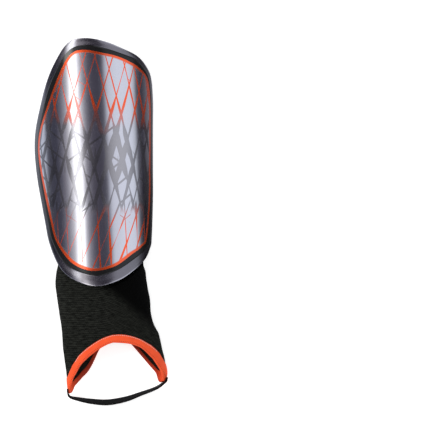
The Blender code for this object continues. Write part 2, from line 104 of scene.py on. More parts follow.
def from_table(rows: Sequence[NamedTuple], key: str, place: float, column: str) -> float:
    """The column's value at a place along the key column, on a smooth curve through the rows.

    Args:
        rows: The table.
        key: The column that the rows are sorted by.
        place: Where to read, in the key column's measure.
        column: The column to read.

    Returns:
        The value there, held level past both ends.
    """
    last = len(rows) - 1
    if place <= getattr(rows[0], key):
        return getattr(rows[0], column)
    for i in range(last):
        here = getattr(rows[i], key)
        there = getattr(rows[i + 1], key)
        if place <= there:
            before = getattr(rows[max(i - 1, 0)], column)
            after = getattr(rows[min(i + 2, last)], column)
            share = (place - here) / (there - here)
            return hermite(before, getattr(rows[i], column), getattr(rows[i + 1], column), after, share)
    return getattr(rows[last], column)


def reader(rows: Sequence[Sequence], closed: bool = True) -> Callable[[float, float], object]:
    """A way to read a table of rows by shares.

    Args:
        rows: The rows, from the top down.
        closed: Whether each row runs round and ends where it starts.

    Returns:
        A function that gives the entry at a share across and a share down.
    """
    last = len(rows) - 1
    count = len(rows[0])
    steps = count if closed else count - 1
    return lambda u, v: rows[round(v * last)][round(u * steps) % count]


class RimRow(NamedTuple):
    """One place on the plate's outline, clockwise from its top.

    across and along are shares of half the plate's width and length. flange, band and line are how far in
    the grey flange, the black band and the orange line end there, in shares of the flange's full width.
    """

    across: float
    along: float
    flange: float
    band: float
    line: float


RIM = tuple(RimRow(*row) for row in (
    (-0.096, 1.000, 0.68, 1.20, 1.43),
    (0.175, 0.976, 0.65, 1.20, 1.41),
    (0.463, 0.922, 0.53, 0.95, 1.17),
    (0.734, 0.856, 0.40, 0.90, 1.13),
    (0.886, 0.773, 0.30, 0.67, 0.88),
    (0.970, 0.676, 0.20, 0.45, 0.60),
    (1.000, 0.498, 0.13, 0.35, 0.50),
    (1.000, 0.256, 0.10, 0.32, 0.45),
    (1.000, -0.026, 0.10, 0.34, 0.48),
    (1.000, -0.308, 0.12, 0.37, 0.50),
    (0.979, -0.615, 0.16, 0.57, 0.72),
    (0.955, -0.690, 0.30, 0.83, 1.05),
    (0.843, -0.800, 0.78, 1.35, 1.61),
    (0.547, -0.921, 0.96, 1.44, 1.70),
    (0.294, -0.977, 1.00, 1.50, 1.74),
    (0.057, -1.000, 1.00, 1.54, 1.76),
    (-0.170, -0.982, 1.00, 1.43, 1.69),
    (-0.429, -0.921, 0.86, 1.33, 1.61),
    (-0.612, -0.820, 0.58, 1.15, 1.43),
    (-0.754, -0.650, 0.35, 0.76, 0.96),
    (-0.823, -0.485, 0.28, 0.64, 0.82),
    (-0.891, -0.308, 0.28, 0.56, 0.76),
    (-0.950, -0.147, 0.26, 0.53, 0.68),
    (-0.989, 0.015, 0.28, 0.45, 0.60),
    (-1.000, 0.144, 0.28, 0.44, 0.58),
    (-0.979, 0.273, 0.32, 0.53, 0.68),
    (-0.916, 0.426, 0.34, 0.71, 0.88),
    (-0.825, 0.603, 0.37, 0.91, 1.10),
    (-0.727, 0.735, 0.46, 0.96, 1.20),
    (-0.600, 0.856, 0.52, 0.92, 1.15),
    (-0.485, 0.938, 0.62, 1.06, 1.27),
    (-0.332, 0.990, 0.73, 1.18, 1.43),
))


class SectionRow(NamedTuple):
    """One section of the sleeve.

    drop is how far it lies below the plate's end in shares of the sleeve's length, left and right are its
    side folds in shares of half the plate's width, and crown is its height in shares of the sleeve's crown.
    """

    drop: float
    left: float
    right: float
    crown: float


SECTIONS = tuple(SectionRow(*row) for row in (
    (-0.562, -0.775, 0.970, 1.00),
    (-0.386, -0.735, 0.943, 1.00),
    (-0.220, -0.612, 0.838, 1.00),
    (-0.128, -0.634, 0.876, 1.00),
    (-0.026, -0.649, 0.903, 0.99),
    (0.131, -0.617, 0.950, 0.93),
    (0.251, -0.583, 0.970, 0.87),
    (0.362, -0.552, 1.021, 0.81),
    (0.445, -0.536, 1.104, 0.77),
    (0.584, -0.518, 1.160, 0.71),
    (0.695, -0.492, 1.205, 0.66),
    (0.806, -0.462, 1.240, 0.60),
    (0.889, -0.448, 1.200, 0.55),
    (1.000, -0.425, 1.150, 0.50),
))


class HemRow(NamedTuple):
    """The binding's upper and lower edge on the front and back walls, as drops in shares of the sleeve's
    length, at a place across the sleeve from its left fold at -1 to its right fold at 1.
    """

    across: float
    front_up: float
    front_low: float
    back_up: float
    back_low: float


HEM = tuple(HemRow(*row) for row in (
    (-1.00, 0.845, 0.985, 0.890, 0.995),
    (-0.93, 0.785, 0.915, 0.885, 0.980),
    (-0.86, 0.730, 0.840, 0.860, 0.925),
    (-0.70, 0.640, 0.735, 0.785, 0.850),
    (-0.50, 0.566, 0.655, 0.690, 0.750),
    (-0.25, 0.497, 0.579, 0.505, 0.575),
    (0.00, 0.455, 0.529, 0.405, 0.467),
    (0.10, 0.448, 0.527, 0.388, 0.450),
    (0.20, 0.445, 0.529, 0.399, 0.463),
    (0.40, 0.458, 0.541, 0.480, 0.545),
    (0.60, 0.490, 0.580, 0.615, 0.680),
    (0.78, 0.540, 0.680, 0.735, 0.800),
    (0.86, 0.575, 0.765, 0.775, 0.872),
    (0.93, 0.625, 0.850, 0.760, 0.892),
    (1.00, 0.710, 0.885, 0.735, 0.875),
))


class StirrupRow(NamedTuple):
    """One place on the stirrup.

    across is in shares of half the plate's width, drop in shares of the sleeve's length, height, of its
    middle, in shares of the stirrup's height, and lean is how far its upper edge leans out, in degrees.
    """

    across: float
    drop: float
    height: float
    lean: float


STIRRUP = tuple(StirrupRow(*row) for row in (
    (-0.400, 1.024, 1.30, 8.0),
    (-0.250, 1.046, 1.10, 17.0),
    (-0.028, 1.066, 1.00, 26.0),
    (0.243, 1.074, 1.00, 30.0),
    (0.547, 1.044, 1.00, 26.0),
    (0.784, 0.998, 1.05, 18.0),
    (0.987, 0.958, 1.20, 14.0),
    (1.110, 0.925, 1.45, 12.0),
))
STIRRUP_LEFT_STATIONS = (0.950, 0.966, 0.984)
STIRRUP_RIGHT_STATIONS = (0.880, 0.860, 0.840)


class FoldRow(NamedTuple):
    """One soft fold in the knit's front: its middle across and down the sleeve, how long and wide it is in
    millimetres, which way it runs in degrees from straight across, and how far it stands out.
    """

    across: float
    drop: float
    length: float
    width: float
    turn: float
    height: float


FOLDS = tuple(FoldRow(*row) for row in (
    (-0.80, 0.02, 24.0, 4.5, -72.0, 0.9),
    (-0.62, 0.06, 22.0, 4.0, -80.0, -0.6),
    (-0.30, 0.20, 30.0, 9.0, -20.0, 0.7),
    (0.25, 0.16, 34.0, 8.0, -35.0, 0.6),
    (0.62, 0.34, 40.0, 7.0, -52.0, -1.1),
    (0.78, 0.52, 26.0, 6.0, -38.0, 1.0),
    (0.30, 0.36, 26.0, 5.0, -25.0, 0.5),
    (-0.72, 0.45, 30.0, 7.0, -84.0, 0.6),
    (-0.50, 0.36, 22.0, 5.0, 60.0, -0.5),
))


@dataclass
class EdgePoint:
    """One step round the plate's outline, with the distances in from it at which its bands end."""

    place: Vector
    inward: Vector
    flange: float
    band: float
    line: float


@dataclass
class Arch:
    """The arched form that the plate and its liner share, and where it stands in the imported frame."""

    length: float = 0.2332
    width: float = 0.1111
    depth: float = 0.0400
    wall: float = 0.0020
    flange_width: float = 0.0094
    flange_step: float = 0.0006
    step_ramp: float = 0.0012
    foam: float = 0.0034
    rim_foam: float = 0.0058
    land: float = 0.0078
    land_ramp: float = 0.0026
    gap: float = 0.0003
    thickest_cloth: float = 0.0014
    steps_a_row: int = 24
    source_steps: int = 72
    origin: Vector = field(default_factory=Vector)

    def __post_init__(self) -> None:
        """Work out what follows from the sizes."""
        half = self.width / 2
        self.radius = (half**2 + self.depth**2) / (2 * self.depth)
        self.foam_top = self.wall + self.gap
        self.foam_field = self.foam_top + self.foam
        self.foam_rim = self.foam_top + self.rim_foam
        edge_cosine = 1 - self.depth / self.radius
        land_height = self.thickest_cloth + 2 * self.gap
        self.axis_height = land_height - (self.radius - self.foam_rim) * edge_cosine
        self.edge: list[Vector] = []

    def settle(self, low: Vector, high: Vector) -> None:
        """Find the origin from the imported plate's lowest and highest corners.

        Args:
            low: The lowest corner.
            high: The highest corner.
        """
        places = [point.place for point in self.outline(self.source_steps)]
        left = min(place.x for place in places)
        bottom = min(place.y for place in places)
        self.origin = Vector((low.x - left, low.y - bottom, high.z - self.axis_height - self.radius))

    def outline(self, count: int) -> list[EdgePoint]:
        """Even steps round the plate's outline.

        Args:
            count: How many steps there are.

        Returns:
            The steps, clockwise from the top.
        """
        fine: list[tuple[Vector, float, float, float]] = []
        rows = len(RIM)
        for i in range(rows):
            four = [RIM[(i + k) % rows] for k in (-1, 0, 1, 2)]
            for k in range(self.steps_a_row):
                share = k / self.steps_a_row
                across, along, *widths = (hermite(*column, share) for column in zip(*four))
                place = Vector((across * self.width / 2, along * self.length / 2))
                fine.append((place, *(width * self.flange_width for width in widths)))
        steps = [(fine[(i + 1) % len(fine)][0] - fine[i][0]).length for i in range(len(fine))]
        total = sum(steps)
        found = []
        walked = 0.0
        i = 0
        for k in range(count):
            target = total * k / count
            while walked + steps[i] < target:
                walked += steps[i]
                i += 1
            share = (target - walked) / steps[i]
            here = fine[i]
            after = fine[(i + 1) % len(fine)]
            widths = [between(here[n], after[n], share) for n in (1, 2, 3)]
            found.append((here[0].lerp(after[0], share), *widths))
        reach = max(1, round(count / self.source_steps))
        points = []
        for k in range(count):
            chord = found[(k + reach) % count][0] - found[k - reach][0]
            inward = Vector((chord.y, -chord.x)).normalized()
            points.append(EdgePoint(found[k][0], inward, *found[k][1:]))
        return points

    def crossings(self, axis: int, value: float) -> list[float]:
        """Where the outline crosses a straight line.

        Args:
            axis: 0 for a line along the plate, 1 for a line across it.
            value: The line's place across or along the plate.

        Returns:
            The crossings' places on the other axis, with the middle's own place first.
        """
        if not self.edge:
            self.edge = [point.place for point in self.outline(self.source_steps)]
        found = [0.0]
        for k, after in enumerate(self.edge):
            here = self.edge[k - 1]
            way = after[axis] - here[axis]
            if (here[axis] - value) * (after[axis] - value) <= 0 and way:
                found.append(between(here[1 - axis], after[1 - axis], (value - here[axis]) / way))
        return found

    def on(self, place: Vector, inset: float) -> Vector:
        """A point under a place on the plate's outer face, that far inward along the face's normal.

        Args:
            place: The place, across and along the plate.
            inset: How far under the outer face.

        Returns:
            The point.
        """
        cosine = math.sqrt(max(0.0, 1 - (place.x / self.radius) ** 2))
        height = self.axis_height + (self.radius - inset) * cosine
        return Vector((place.x * (1 - inset / self.radius), place.y, height))

    def under(self, place: Vector, inset: float) -> Vector:
        """A point straight under a place seen from above, on the arch that lies inset below the face."""
        arch = self.radius - inset
        return Vector((place.x, place.y, self.axis_height + math.sqrt(max(0.0, arch**2 - place.x**2))))

    def normal(self, point: Vector) -> Vector:
        """The arch's outward normal at a point in its own layout."""
        return Vector((point.x, 0.0, point.z - self.axis_height)).normalized()


class Bench:
    """The modelling bench: small jobs done with Blender's own tools."""

    @staticmethod
    def only(piece: bpy.types.Object) -> None:
        """Select one piece alone and make it the active one.

        Args:
            piece: The piece.
        """
        bpy.ops.object.select_all(action="DESELECT")
        piece.select_set(True)
        bpy.context.view_layer.objects.active = piece

    @staticmethod
    def edit(piece: bpy.types.Object, *jobs: Callable[[], object]) -> None:
        """Run edit mode jobs on all of a piece.

        Args:
            piece: The piece to work on.
            jobs: Calls that each run one operator.
        """
        Bench.only(piece)
        bpy.ops.object.mode_set(mode="EDIT")
        bpy.ops.mesh.select_all(action="SELECT")
        for job in jobs:
            job()
        bpy.ops.object.mode_set(mode="OBJECT")

    @staticmethod
    def modify(piece: bpy.types.Object, kind: str, **settings: object) -> None:
        """Add a modifier to a piece and apply it.

        Args:
            piece: The piece.
            kind: The modifier's type.
            settings: Its settings by name.
        """
        Bench.only(piece)
        modifier = piece.modifiers.new(kind.lower(), kind)
        for name, value in settings.items():
            setattr(modifier, name, value)
        bpy.ops.object.modifier_apply(modifier=modifier.name)

    @staticmethod
    def grid(
        name: str,
        columns: int,
        rows: int,
        place: Callable[[float, float], Vector],
        measure: Callable[[float, float], tuple[float, float]],
        outward: Union[Vector, None] = None,
        marks: Union[Callable[[float, float], float], None] = None,
    ) -> bpy.types.Object:
        """Shape a grid primitive into a sheet, tube or shell, and close the seams and poles it then has.

        Args:
            name: The piece's name.
            columns: How many faces the grid has across.
            rows: How many faces it has down.
            place: Gives the point for a share across and a share down.
            measure: Gives the cloth or print coordinates, in metres, for the same shares.
            outward: Where most of an open sheet's faces look. A closed shell has none.
            marks: Gives a value for the same shares, kept as the attribute "mark".

        Returns:
            The new piece.
        """
        bpy.ops.object.select_all(action="DESELECT")
        bpy.ops.mesh.primitive_grid_add(x_subdivisions=columns, y_subdivisions=rows, size=1.0)
        piece = bpy.context.active_object
        piece.name = name
        mesh = piece.data
        mesh.name = name
        count = len(mesh.vertices)
        flat = np.zeros(count * 3)
        mesh.vertices.foreach_get("co", flat)
        flat = flat.reshape(-1, 3)
        shares = np.column_stack((flat[:, 0] + 0.5, 0.5 - flat[:, 1]))
        shares[:, 0] = np.round(shares[:, 0] * columns) / columns
        shares[:, 1] = np.round(shares[:, 1] * rows) / rows
        points = np.array([place(u, v) for u, v in shares])
        mesh.vertices.foreach_set("co", points.ravel())
        if marks is not None:
            kept = mesh.attributes.new("mark", "FLOAT", "POINT")
            kept.data.foreach_set("value", np.array([marks(u, v) for u, v in shares], np.float32))
        wanted = np.array([measure(u, v) for u, v in shares])
        corners = np.zeros(len(mesh.loops), np.int64)
        mesh.loops.foreach_get("vertex_index", corners)
        mesh.uv_layers[0].uv.foreach_set("vector", wanted[corners].ravel().astype(np.float32))
        mesh.update()
        Bench.edit(piece, lambda: bpy.ops.mesh.remove_doubles(threshold=TINY))
        if outward is None:
            Bench.edit(piece, lambda: bpy.ops.mesh.normals_make_consistent(inside=False))
        else:
            facing = sum((face.normal.dot(outward) * face.area for face in mesh.polygons), 0.0)
            if facing < 0:
                Bench.edit(piece, lambda: bpy.ops.mesh.flip_normals())
        return piece

    @staticmethod
    def smooth(piece: bpy.types.Object, angle: float) -> None:
        """Shade a piece smooth, with edges sharper than the angle kept sharp."""
        Bench.only(piece)
        bpy.ops.object.shade_smooth_by_angle(angle=math.radians(angle))

    @staticmethod
    def shift(piece: bpy.types.Object, offset: Vector) -> None:
        """Move a piece's mesh, so that its object stays at the origin."""
        piece.data.transform(Matrix.Translation(offset))
        piece.data.update()


@dataclass
class Wire:
    """A shader socket with arithmetic."""

    sheet: "NodeSheet"
    socket: bpy.types.NodeSocket

    def do(self, operation: str, *others: "Number") -> "Wire":
        """The result of a Math node on this and other values."""
        return self.sheet.add("ShaderNodeMath", {"operation": operation}, [self, *others])

    def __add__(self, other: "Number") -> "Wire":
        """This plus other."""
        return self.do("ADD", other)

    __radd__ = __add__

    def __mul__(self, other: "Number") -> "Wire":
        """This times other."""
        return self.do("MULTIPLY", other)

    __rmul__ = __mul__

    def __sub__(self, other: "Number") -> "Wire":
        """This less other."""
        return self.do("SUBTRACT", other)

    def __rsub__(self, other: "Number") -> "Wire":
        """Other less this."""
        return self.sheet.add("ShaderNodeMath", {"operation": "SUBTRACT"}, [other, self])

    def __truediv__(self, other: "Number") -> "Wire":
        """This over other."""
        return self.do("DIVIDE", other)

    def __neg__(self) -> "Wire":
        """This with its sign turned."""
        return self * -1.0

    def __abs__(self) -> "Wire":
        """This without its sign."""
        return self.do("ABSOLUTE")

    def floor(self) -> "Wire":
        """The whole number below this."""
        return self.do("FLOOR")

    def most(self, other: "Number") -> "Wire":
        """The larger of this and other."""
        return self.do("MAXIMUM", other)

    def least(self, other: "Number") -> "Wire":
        """The smaller of this and other."""
        return self.do("MINIMUM", other)

    def wave(self) -> "Wire":
        """A wave from 0 to 1 that repeats once for each whole number."""
        return (self * math.tau).do("SINE") * 0.5 + 0.5

    def clamp(self) -> "Wire":
        """This kept between 0 and 1."""
        return self.least(1.0).most(0.0)

    def rise(self, start: "Number", end: "Number") -> "Wire":
        """A smooth step from 0 where this is start to 1 where it is end."""
        settings = {"interpolation_type": "SMOOTHSTEP"}
        return self.sheet.add("ShaderNodeMapRange", settings, {0: self, 1: start, 2: end})


Number = Union[Wire, float]
Colour = tuple[float, float, float]


class NodeSheet:
    """One material's nodes, written as expressions."""

    def __init__(self, name: str) -> None:
        """Start a material of that name with a plain shader.

        Args:
            name: The material's name.
        """
        self.material = bpy.data.materials.new(name)
        self.material.use_nodes = True
        self.nodes = self.material.node_tree.nodes
        self.links = self.material.node_tree.links
        self.shader = self.nodes["Principled BSDF"]

    def feed(self, target: bpy.types.NodeSocket, value: object) -> None:
        """Link a wire to a socket, or set the socket to a number, colour or vector.

        Args:
            target: The socket.
            value: The wire, number, colour or vector.
        """
        if isinstance(value, Wire):
            self.links.new(value.socket, target)
        elif isinstance(value, tuple) and len(value) == 3 and target.type == "RGBA":
            target.default_value = (*value, 1.0)
        else:
            target.default_value = value

    def add(
        self,
        kind: str,
        settings: Union[dict, None] = None,
        inputs: Union[Sequence, dict, None] = None,
        output: Union[int, str] = 0,
    ) -> Wire:
        """Add one node.

        Args:
            kind: The node's type.
            settings: Its settings, set before its sockets. "stops" is a ramp's stops as (place, colour).
            inputs: Values or wires for its sockets, in order or by index or name.
            output: Which of its outputs to give back.

        Returns:
            The output, as a wire.
        """
        node = self.nodes.new(kind)
        for name, value in (settings or {}).items():
            if name == "stops":
                self._set_stops(node.color_ramp, value)
            else:
                setattr(node, name, value)
        pairs = inputs.items() if isinstance(inputs, dict) else enumerate(inputs or ())
        for key, value in pairs:
            self.feed(node.inputs[key], value)
        return Wire(self, node.outputs[output])

    @staticmethod
    def _set_stops(ramp: bpy.types.ColorRamp, stops: Sequence[tuple[float, Colour]]) -> None:
        """Give a colour ramp its stops.

        Args:
            ramp: The ramp.
            stops: Each stop's place and colour.
        """
        while len(ramp.elements) > 1:
            ramp.elements.remove(ramp.elements[-1])
        for k, (place, colour) in enumerate(stops):
            stop = ramp.elements[0] if k == 0 else ramp.elements.new(place)
            stop.position = place
            stop.color = (*colour, 1.0)

    def mix(self, share: Number, low: object, high: object) -> Wire:
        """A colour that share of the way from low to high."""
        settings = {"data_type": "RGBA", "clamp_factor": True}
        return self.add("ShaderNodeMix", settings, {0: share, 6: low, 7: high}, 2)

    def blend(self, share: Number, low: Number, high: Number) -> Wire:
        """A number that share of the way from low to high."""
        return self.add("ShaderNodeMix", {"data_type": "FLOAT"}, {0: share, 2: low, 3: high}, 0)

    def place(self) -> Wire:
        """The point on the piece, in metres."""
        return self.add("ShaderNodeTexCoord", output="Object")

    def cloth(self) -> tuple[Wire, Wire]:
        """The piece's own cloth coordinates, in metres."""
        return self.parts(self.add("ShaderNodeUVMap"))

    def parts(self, vector: Wire, first: int = 0, second: int = 1) -> tuple[Wire, Wire]:
        """Two of a vector's three parts."""
        split = self.add("ShaderNodeSeparateXYZ", None, [vector]).socket.node.outputs
        return Wire(self, split[first]), Wire(self, split[second])

    def mark(self) -> Wire:
        """The value that the piece's mesh carries."""
        return self.add("ShaderNodeAttribute", {"attribute_name": "mark"}, output="Fac")

    def point(self, x: Number = 0.0, y: Number = 0.0, z: Number = 0.0) -> Wire:
        """A vector from three numbers."""
        return self.add("ShaderNodeCombineXYZ", None, [x, y, z])

    def noise(self, at: Wire, scale: float, detail: float = 2.0, roughness: float = 0.5) -> Wire:
        """Soft noise from 0 to 1, with so many lumps a metre."""
        inputs = {"Vector": at, "Scale": scale, "Detail": detail, "Roughness": roughness}
        return self.add("ShaderNodeTexNoise", None, inputs)

    def dice(self, *at: Number) -> Wire:
        """A random number from 0 to 1 for each whole place."""
        return self.add("ShaderNodeTexWhiteNoise", None, {"Vector": self.point(*at)})

    def lanes(
        self,
        at: tuple[Wire, Wire],
        slant: float,
        pitch: float,
        seed: Sequence[float] = (),
        nudge: float = 0.0,
    ) -> tuple[Wire, Wire]:
        """A family of slanting lines.

        Args:
            at: Metres across and along the piece.
            slant: How far a line runs across for each metre along.
            pitch: How far the lines are apart.
            seed: Tells this family's chances from another's. Without it the lines lie evenly.
            nudge: How far apart a line's outermost chances lie, in shares of the pitch.

        Returns:
            The number of the nearest even place, and how far the point lies beside its line, in pitches.
        """
        across, along = at
        lane = (across - along * slant) / pitch
        index = (lane + 0.5).floor()
        beside = lane - index
        if seed:
            beside = beside - (self.dice(index, *seed) - 0.5) * nudge
        return index, beside

    def bump(self, height: Wire, depth: float) -> None:
        """Raise the surface by depth metres where height is 1."""
        inputs = {"Height": height, "Distance": depth, "Strength": 1.0}
        self.finish("Normal", self.add("ShaderNodeBump", None, inputs))

    def surface(self, colour: object, roughness: Number, gleam: float) -> None:
        """Set the shader's colour, roughness and specular level.

        Args:
            colour: The colour.
            roughness: The roughness.
            gleam: The specular level, 0.5 for plain plastic.
        """
        self.finish("Base Color", colour)
        self.finish("Roughness", roughness)
        self.finish("Specular IOR Level", gleam)

    def finish(self, name: str, value: object) -> None:
        """Set one of the shader's own sockets."""
        self.feed(self.shader.inputs[name], value)


@dataclass(frozen=True)
class PrintedFilm:
    """Metallic film under clear lacquer, with a grey flange, a black band, an orange line and a printed
    lattice of crossing lines that thickens into see-through grey splinters round the middle.
    """

    silver: Colour = (0.66, 0.655, 0.70)
    shade: Colour = (0.18, 0.175, 0.20)
    flange: Colour = (0.205, 0.192, 0.215)
    black: Colour = (0.008, 0.008, 0.008)
    # The black band's painted sheen, where the bright reflection strip would cross it.
    gleam: Colour = (0.155, 0.155, 0.145)
    # The cut edge's pale plastic, partly its own colour and partly a painted highlight.
    cut: Colour = (0.62, 0.60, 0.64)
    orange: Colour = (1.0, 0.112, 0.018)
    grey: Colour = (0.160, 0.150, 0.160)
    smoke: Colour = (0.080, 0.075, 0.085)
    # The print's grey, painted lighter where the pale reflection band lies.
    painted_reflection_grey: Colour = (0.280, 0.266, 0.272)
    fill: Colour = (0.330, 0.312, 0.312)
    pitch: float = 0.0136
    nudge: float = 0.40
    soft: float = 0.00012
    top_slants: tuple[float, float] = (0.31, -0.28)
    low_slants: tuple[float, float] = (0.43, -0.06)
    steep_slants: tuple[float, float] = (0.04, -0.75)
    barb_slants: tuple[float, float] = (1.35, -1.55)
    top_seed: float = 3.0
    low_seed: float = 11.0
    steep_seed: float = 23.0
    barb_seed: float = 20.0
    # Where the painted highlight strip lies across the plate. The print fades over it.
    painted_highlight_strip: float = -0.0158
    # Where the flange's painted highlights lie across the plate.
    top_painted_highlight: float = -0.0225
    low_painted_highlight: float = -0.0165
    painted_band_sheen: float = -0.0250
    patch_middle: tuple[float, float] = (0.022, 0.006)
    patch_half: tuple[float, float] = (0.013, 0.030)

    def material(self) -> bpy.types.Material:
        """Make the material.

        Returns:
            The material.
        """
        sheet = NodeSheet("printed_film")
        rim = sheet.mark()
        at = sheet.cloth()
        place = sheet.place()
        tint, cover, glow = self._print(sheet, at, place)
        on_field = rim.rise(2.99, 3.01)
        past_band = rim.rise(1.99, 2.01)
        on_line = past_band * (1 - on_field)
        on_band = rim.rise(0.99, 1.01) * (1 - past_band)
        grain = sheet.noise(place, 2600.0, 2.0, 0.7)
        film = sheet.mix(on_field, self._flange(sheet, at), self.silver)
        film = sheet.mix((grain - 0.42) * sheet.blend(on_field, 0.25, 0.80), film, self.shade)
        colour = sheet.mix(cover * on_field, film, tint)
        colour = sheet.mix(on_line, colour, self.orange)
        # Painted sheen: the black band lightened at its upper left, where the bright strip's reflection
        # would cross it.
        sheen = self._strip(at[0], self.painted_band_sheen, 0.0010, 0.0065) * at[1].rise(0.084, 0.094)
        colour = sheet.mix(on_band, colour, sheet.mix(sheen, self.black, self.gleam))
        # The pale cut edge: the plastic's own lighter edge, widened onto the flange's outer edge as a
        # painted highlight.
        cut = rim.rise(0.0, 0.03) * (1 - rim.rise(0.10, 0.22))
        painted = (cover * on_field + on_line).clamp()
        bright = (painted * glow + on_line).clamp()
        rough = sheet.blend(on_field, 0.22, 0.085) + grain * 0.05
        rough = sheet.blend(painted, rough, 0.24)
        sheet.surface(sheet.mix(cut * 0.7, colour, self.cut), rough, gleam=0.18)
        sheet.finish("Metallic", sheet.blend(on_band, 1 - painted * 0.03 - bright * 0.12, 0.0))
        sheet.finish("Coat Weight", 1 - on_band * 0.65)
        sheet.finish("Coat Roughness", 0.06)
        ripple = sheet.noise(place, 55.0, 1.0) * sheet.blend(on_field, 0.25, 0.60)
        sheet.bump(ripple + grain * 0.02, 0.00004)
        return sheet.material

    @staticmethod
    def _strip(across: Wire, middle: float, core: float, reach: float) -> Wire:
        """A soft strip along the plate: full up to core metres beside its middle, and gone at reach."""
        return 1 - abs(across - middle).rise(core, reach)

    def _flange(self, sheet: NodeSheet, at: tuple[Wire, Wire]) -> Wire:
        """The flange's tone: painted shade at both sides, and a painted highlight at its upper and its
        lower left.

        Args:
            sheet: The material's nodes.
            at: Metres across the plate, along its face, and metres along it.

        Returns:
            The colour.
        """
        across, along = at
        # Painted shade: the flange darkened at its left and right sides.
        left = (-across).rise(0.034, 0.043) * (0.066 - along).rise(0.0, 0.03) * 0.72
        painted_side_shade = (across.rise(0.010, 0.034) * 0.26).most(left)
        # Painted highlights: the flange lightened towards silver at its upper left and its lower left.
        top = self._strip(across, self.top_painted_highlight, 0.0015, 0.0075) * along.rise(0.080, 0.100)
        low = self._strip(across, self.low_painted_highlight, 0.0010, 0.0065) * (-along).rise(0.085, 0.100)
        return sheet.mix(top + low * 0.65, sheet.mix(painted_side_shade, self.flange, self.black), self.silver)

    def _print(self, sheet: NodeSheet, at: tuple[Wire, Wire], place: Wire) -> tuple[Wire, Wire, Wire]:
        """The field's print.

        Args:
            sheet: The material's nodes.
            at: Metres across the plate, along its face, and metres along it.
            place: The point on the piece.

        Returns:
            Its colour, how far it covers the film, and where it glows orange.
        """
        across, along = at
        drawn = along + (sheet.noise(place, 38.0, 1.0) - 0.5) * 0.034
        glow = drawn.rise(0.030, 0.056).most((-drawn).rise(0.044, 0.062))
        deep = (0.088 - along).rise(0.0, 0.060)
        middle = (0.050 - along).rise(0.0, 0.020) * (along + 0.056).rise(0.0, 0.024)
        heavy = sheet.noise(place, 26.0, 1.0).rise(0.46, 0.70)
        off = [(at[k] - self.patch_middle[k]) / self.patch_half[k] for k in (0, 1)]
        patch = (off[0] * off[0] + off[1] * off[1]).rise(1.5, 0.2) * middle
        upper = self._lattice(
            sheet,
            at,
            self.top_slants,
            self.top_seed,
            deep * 0.00045 + middle * (heavy * 0.00055 - 0.00030) + patch * 0.0018 + 0.00030,
            deep * 0.00085 + middle * 0.00050 + 0.00034,
        ) * (along + 0.050).rise(0.0, 0.010)
        lower = self._lattice(
            sheet,
            at,
            self.low_slants,
            self.low_seed,
            middle * 0.00050 + 0.00020,
            (across + 0.010).rise(0.0, 0.03) * 0.00085 + middle * 0.00060 + 0.00016,
        ) * (-along).rise(0.034, 0.040)
        steep = self._lattice(
            sheet,
            (across * 0.55, along * 0.55),
            self.steep_slants,
            self.steep_seed,
            middle * heavy * 0.0009 - 0.0009,
            middle * 0.0006,
        )
        lines = upper.most(lower).most(self._barbs(sheet, at, middle)).most(steep * middle)
        murk = sheet.noise(place, 42.0, 1.0).rise(0.30, 0.70)
        # Painted reflection: the print's greys are lighter across the pale reflection band right of the
        # middle.
        pale = across.rise(0.006, 0.014) * (1 - across.rise(0.034, 0.042))
        greys = sheet.mix(pale * 0.85, sheet.mix(murk, self.grey, self.smoke), self.painted_reflection_grey)
        greys = sheet.mix(patch, greys, self.fill)
        # Painted highlight: the print fades along the strip where the bright reflection lies.
        painted_highlight_wash = self._strip(across, self.painted_highlight_strip, 0.0030, 0.0078) * sheet.blend(glow, 0.58, 0.30)
        cover = lines * sheet.blend(glow, 0.80, 1.0) * (1 - painted_highlight_wash)
        return sheet.mix(glow, greys, self.orange), cover, glow

    def _lattice(
        self,
        sheet: NodeSheet,
        at: tuple[Wire, Wire],
        slants: tuple[float, float],
        seed: float,
        least: Number,
        swing: Number,
    ) -> Wire:
        """Two families of slanting lines, each line with its own place and swelling width.

        Args:
            sheet: The material's nodes.
            at: Metres across and along the plate.
            slants: How far each family's lines run across for each metre along.
            seed: Tells this lattice's chances from another's.
            least: Half of a line's width where it is thinnest.
            swing: How much half of a line's width can swell.

        Returns:
            Where the lines are.
        """
        lines = []
        for k, slant in enumerate(slants):
            index, beside = sheet.lanes(at, slant, self.pitch, (seed + k, 0.5), self.nudge)
            swell = sheet.noise(sheet.point(index * 3.7, at[1] * 34.0, seed + k), 1.0, 1.0)
            half = swell.rise(0.30, 0.70) * swing + least
            lines.append(1 - (abs(beside) * self.pitch - half).rise(-self.soft, self.soft))
        return reduce(Wire.most, lines)

    def _cell(self, sheet: NodeSheet, at: tuple[Wire, Wire], family: int) -> Wire:
        """The number of the gap between two of the upper lattice's lines that a point lies in.

        Args:
            sheet: The material's nodes.
            at: Metres across and along the plate.
            family: Which of the lattice's two families of lines.

        Returns:
            The number.
        """
        slant = self.top_slants[family]
        index, beside = sheet.lanes(at, slant, self.pitch, (self.top_seed + family, 0.5), self.nudge)
        return index + beside.do("GREATER_THAN", 0.0)

    def _barbs(self, sheet: NodeSheet, at: tuple[Wire, Wire], middle: Wire) -> Wire:
        """Short cross lines that cut the corner off a diamond here and there.

        Args:
            sheet: The material's nodes.
            at: Metres across and along the plate.
            middle: How far a point lies in the plate's middle, where the lines are heavier.

        Returns:
            Where the lines are.
        """
        cells = [self._cell(sheet, at, family) for family in (0, 1)]
        lines = []
        for k, slant in enumerate(self.barb_slants):
            beside = sheet.lanes(at, slant, self.pitch * 1.9)[1]
            chance = sheet.dice(*cells, self.barb_seed + k) + middle * 0.10
            shown = chance.rise(0.84, 0.841) * (at[1] + 0.058).rise(0.0, 0.004)
            away = abs(beside) * (self.pitch * 1.2) - 0.00032 - middle * 0.0007
            lines.append((1 - away.rise(-self.soft, self.soft)) * shown)
        return reduce(Wire.most, lines)


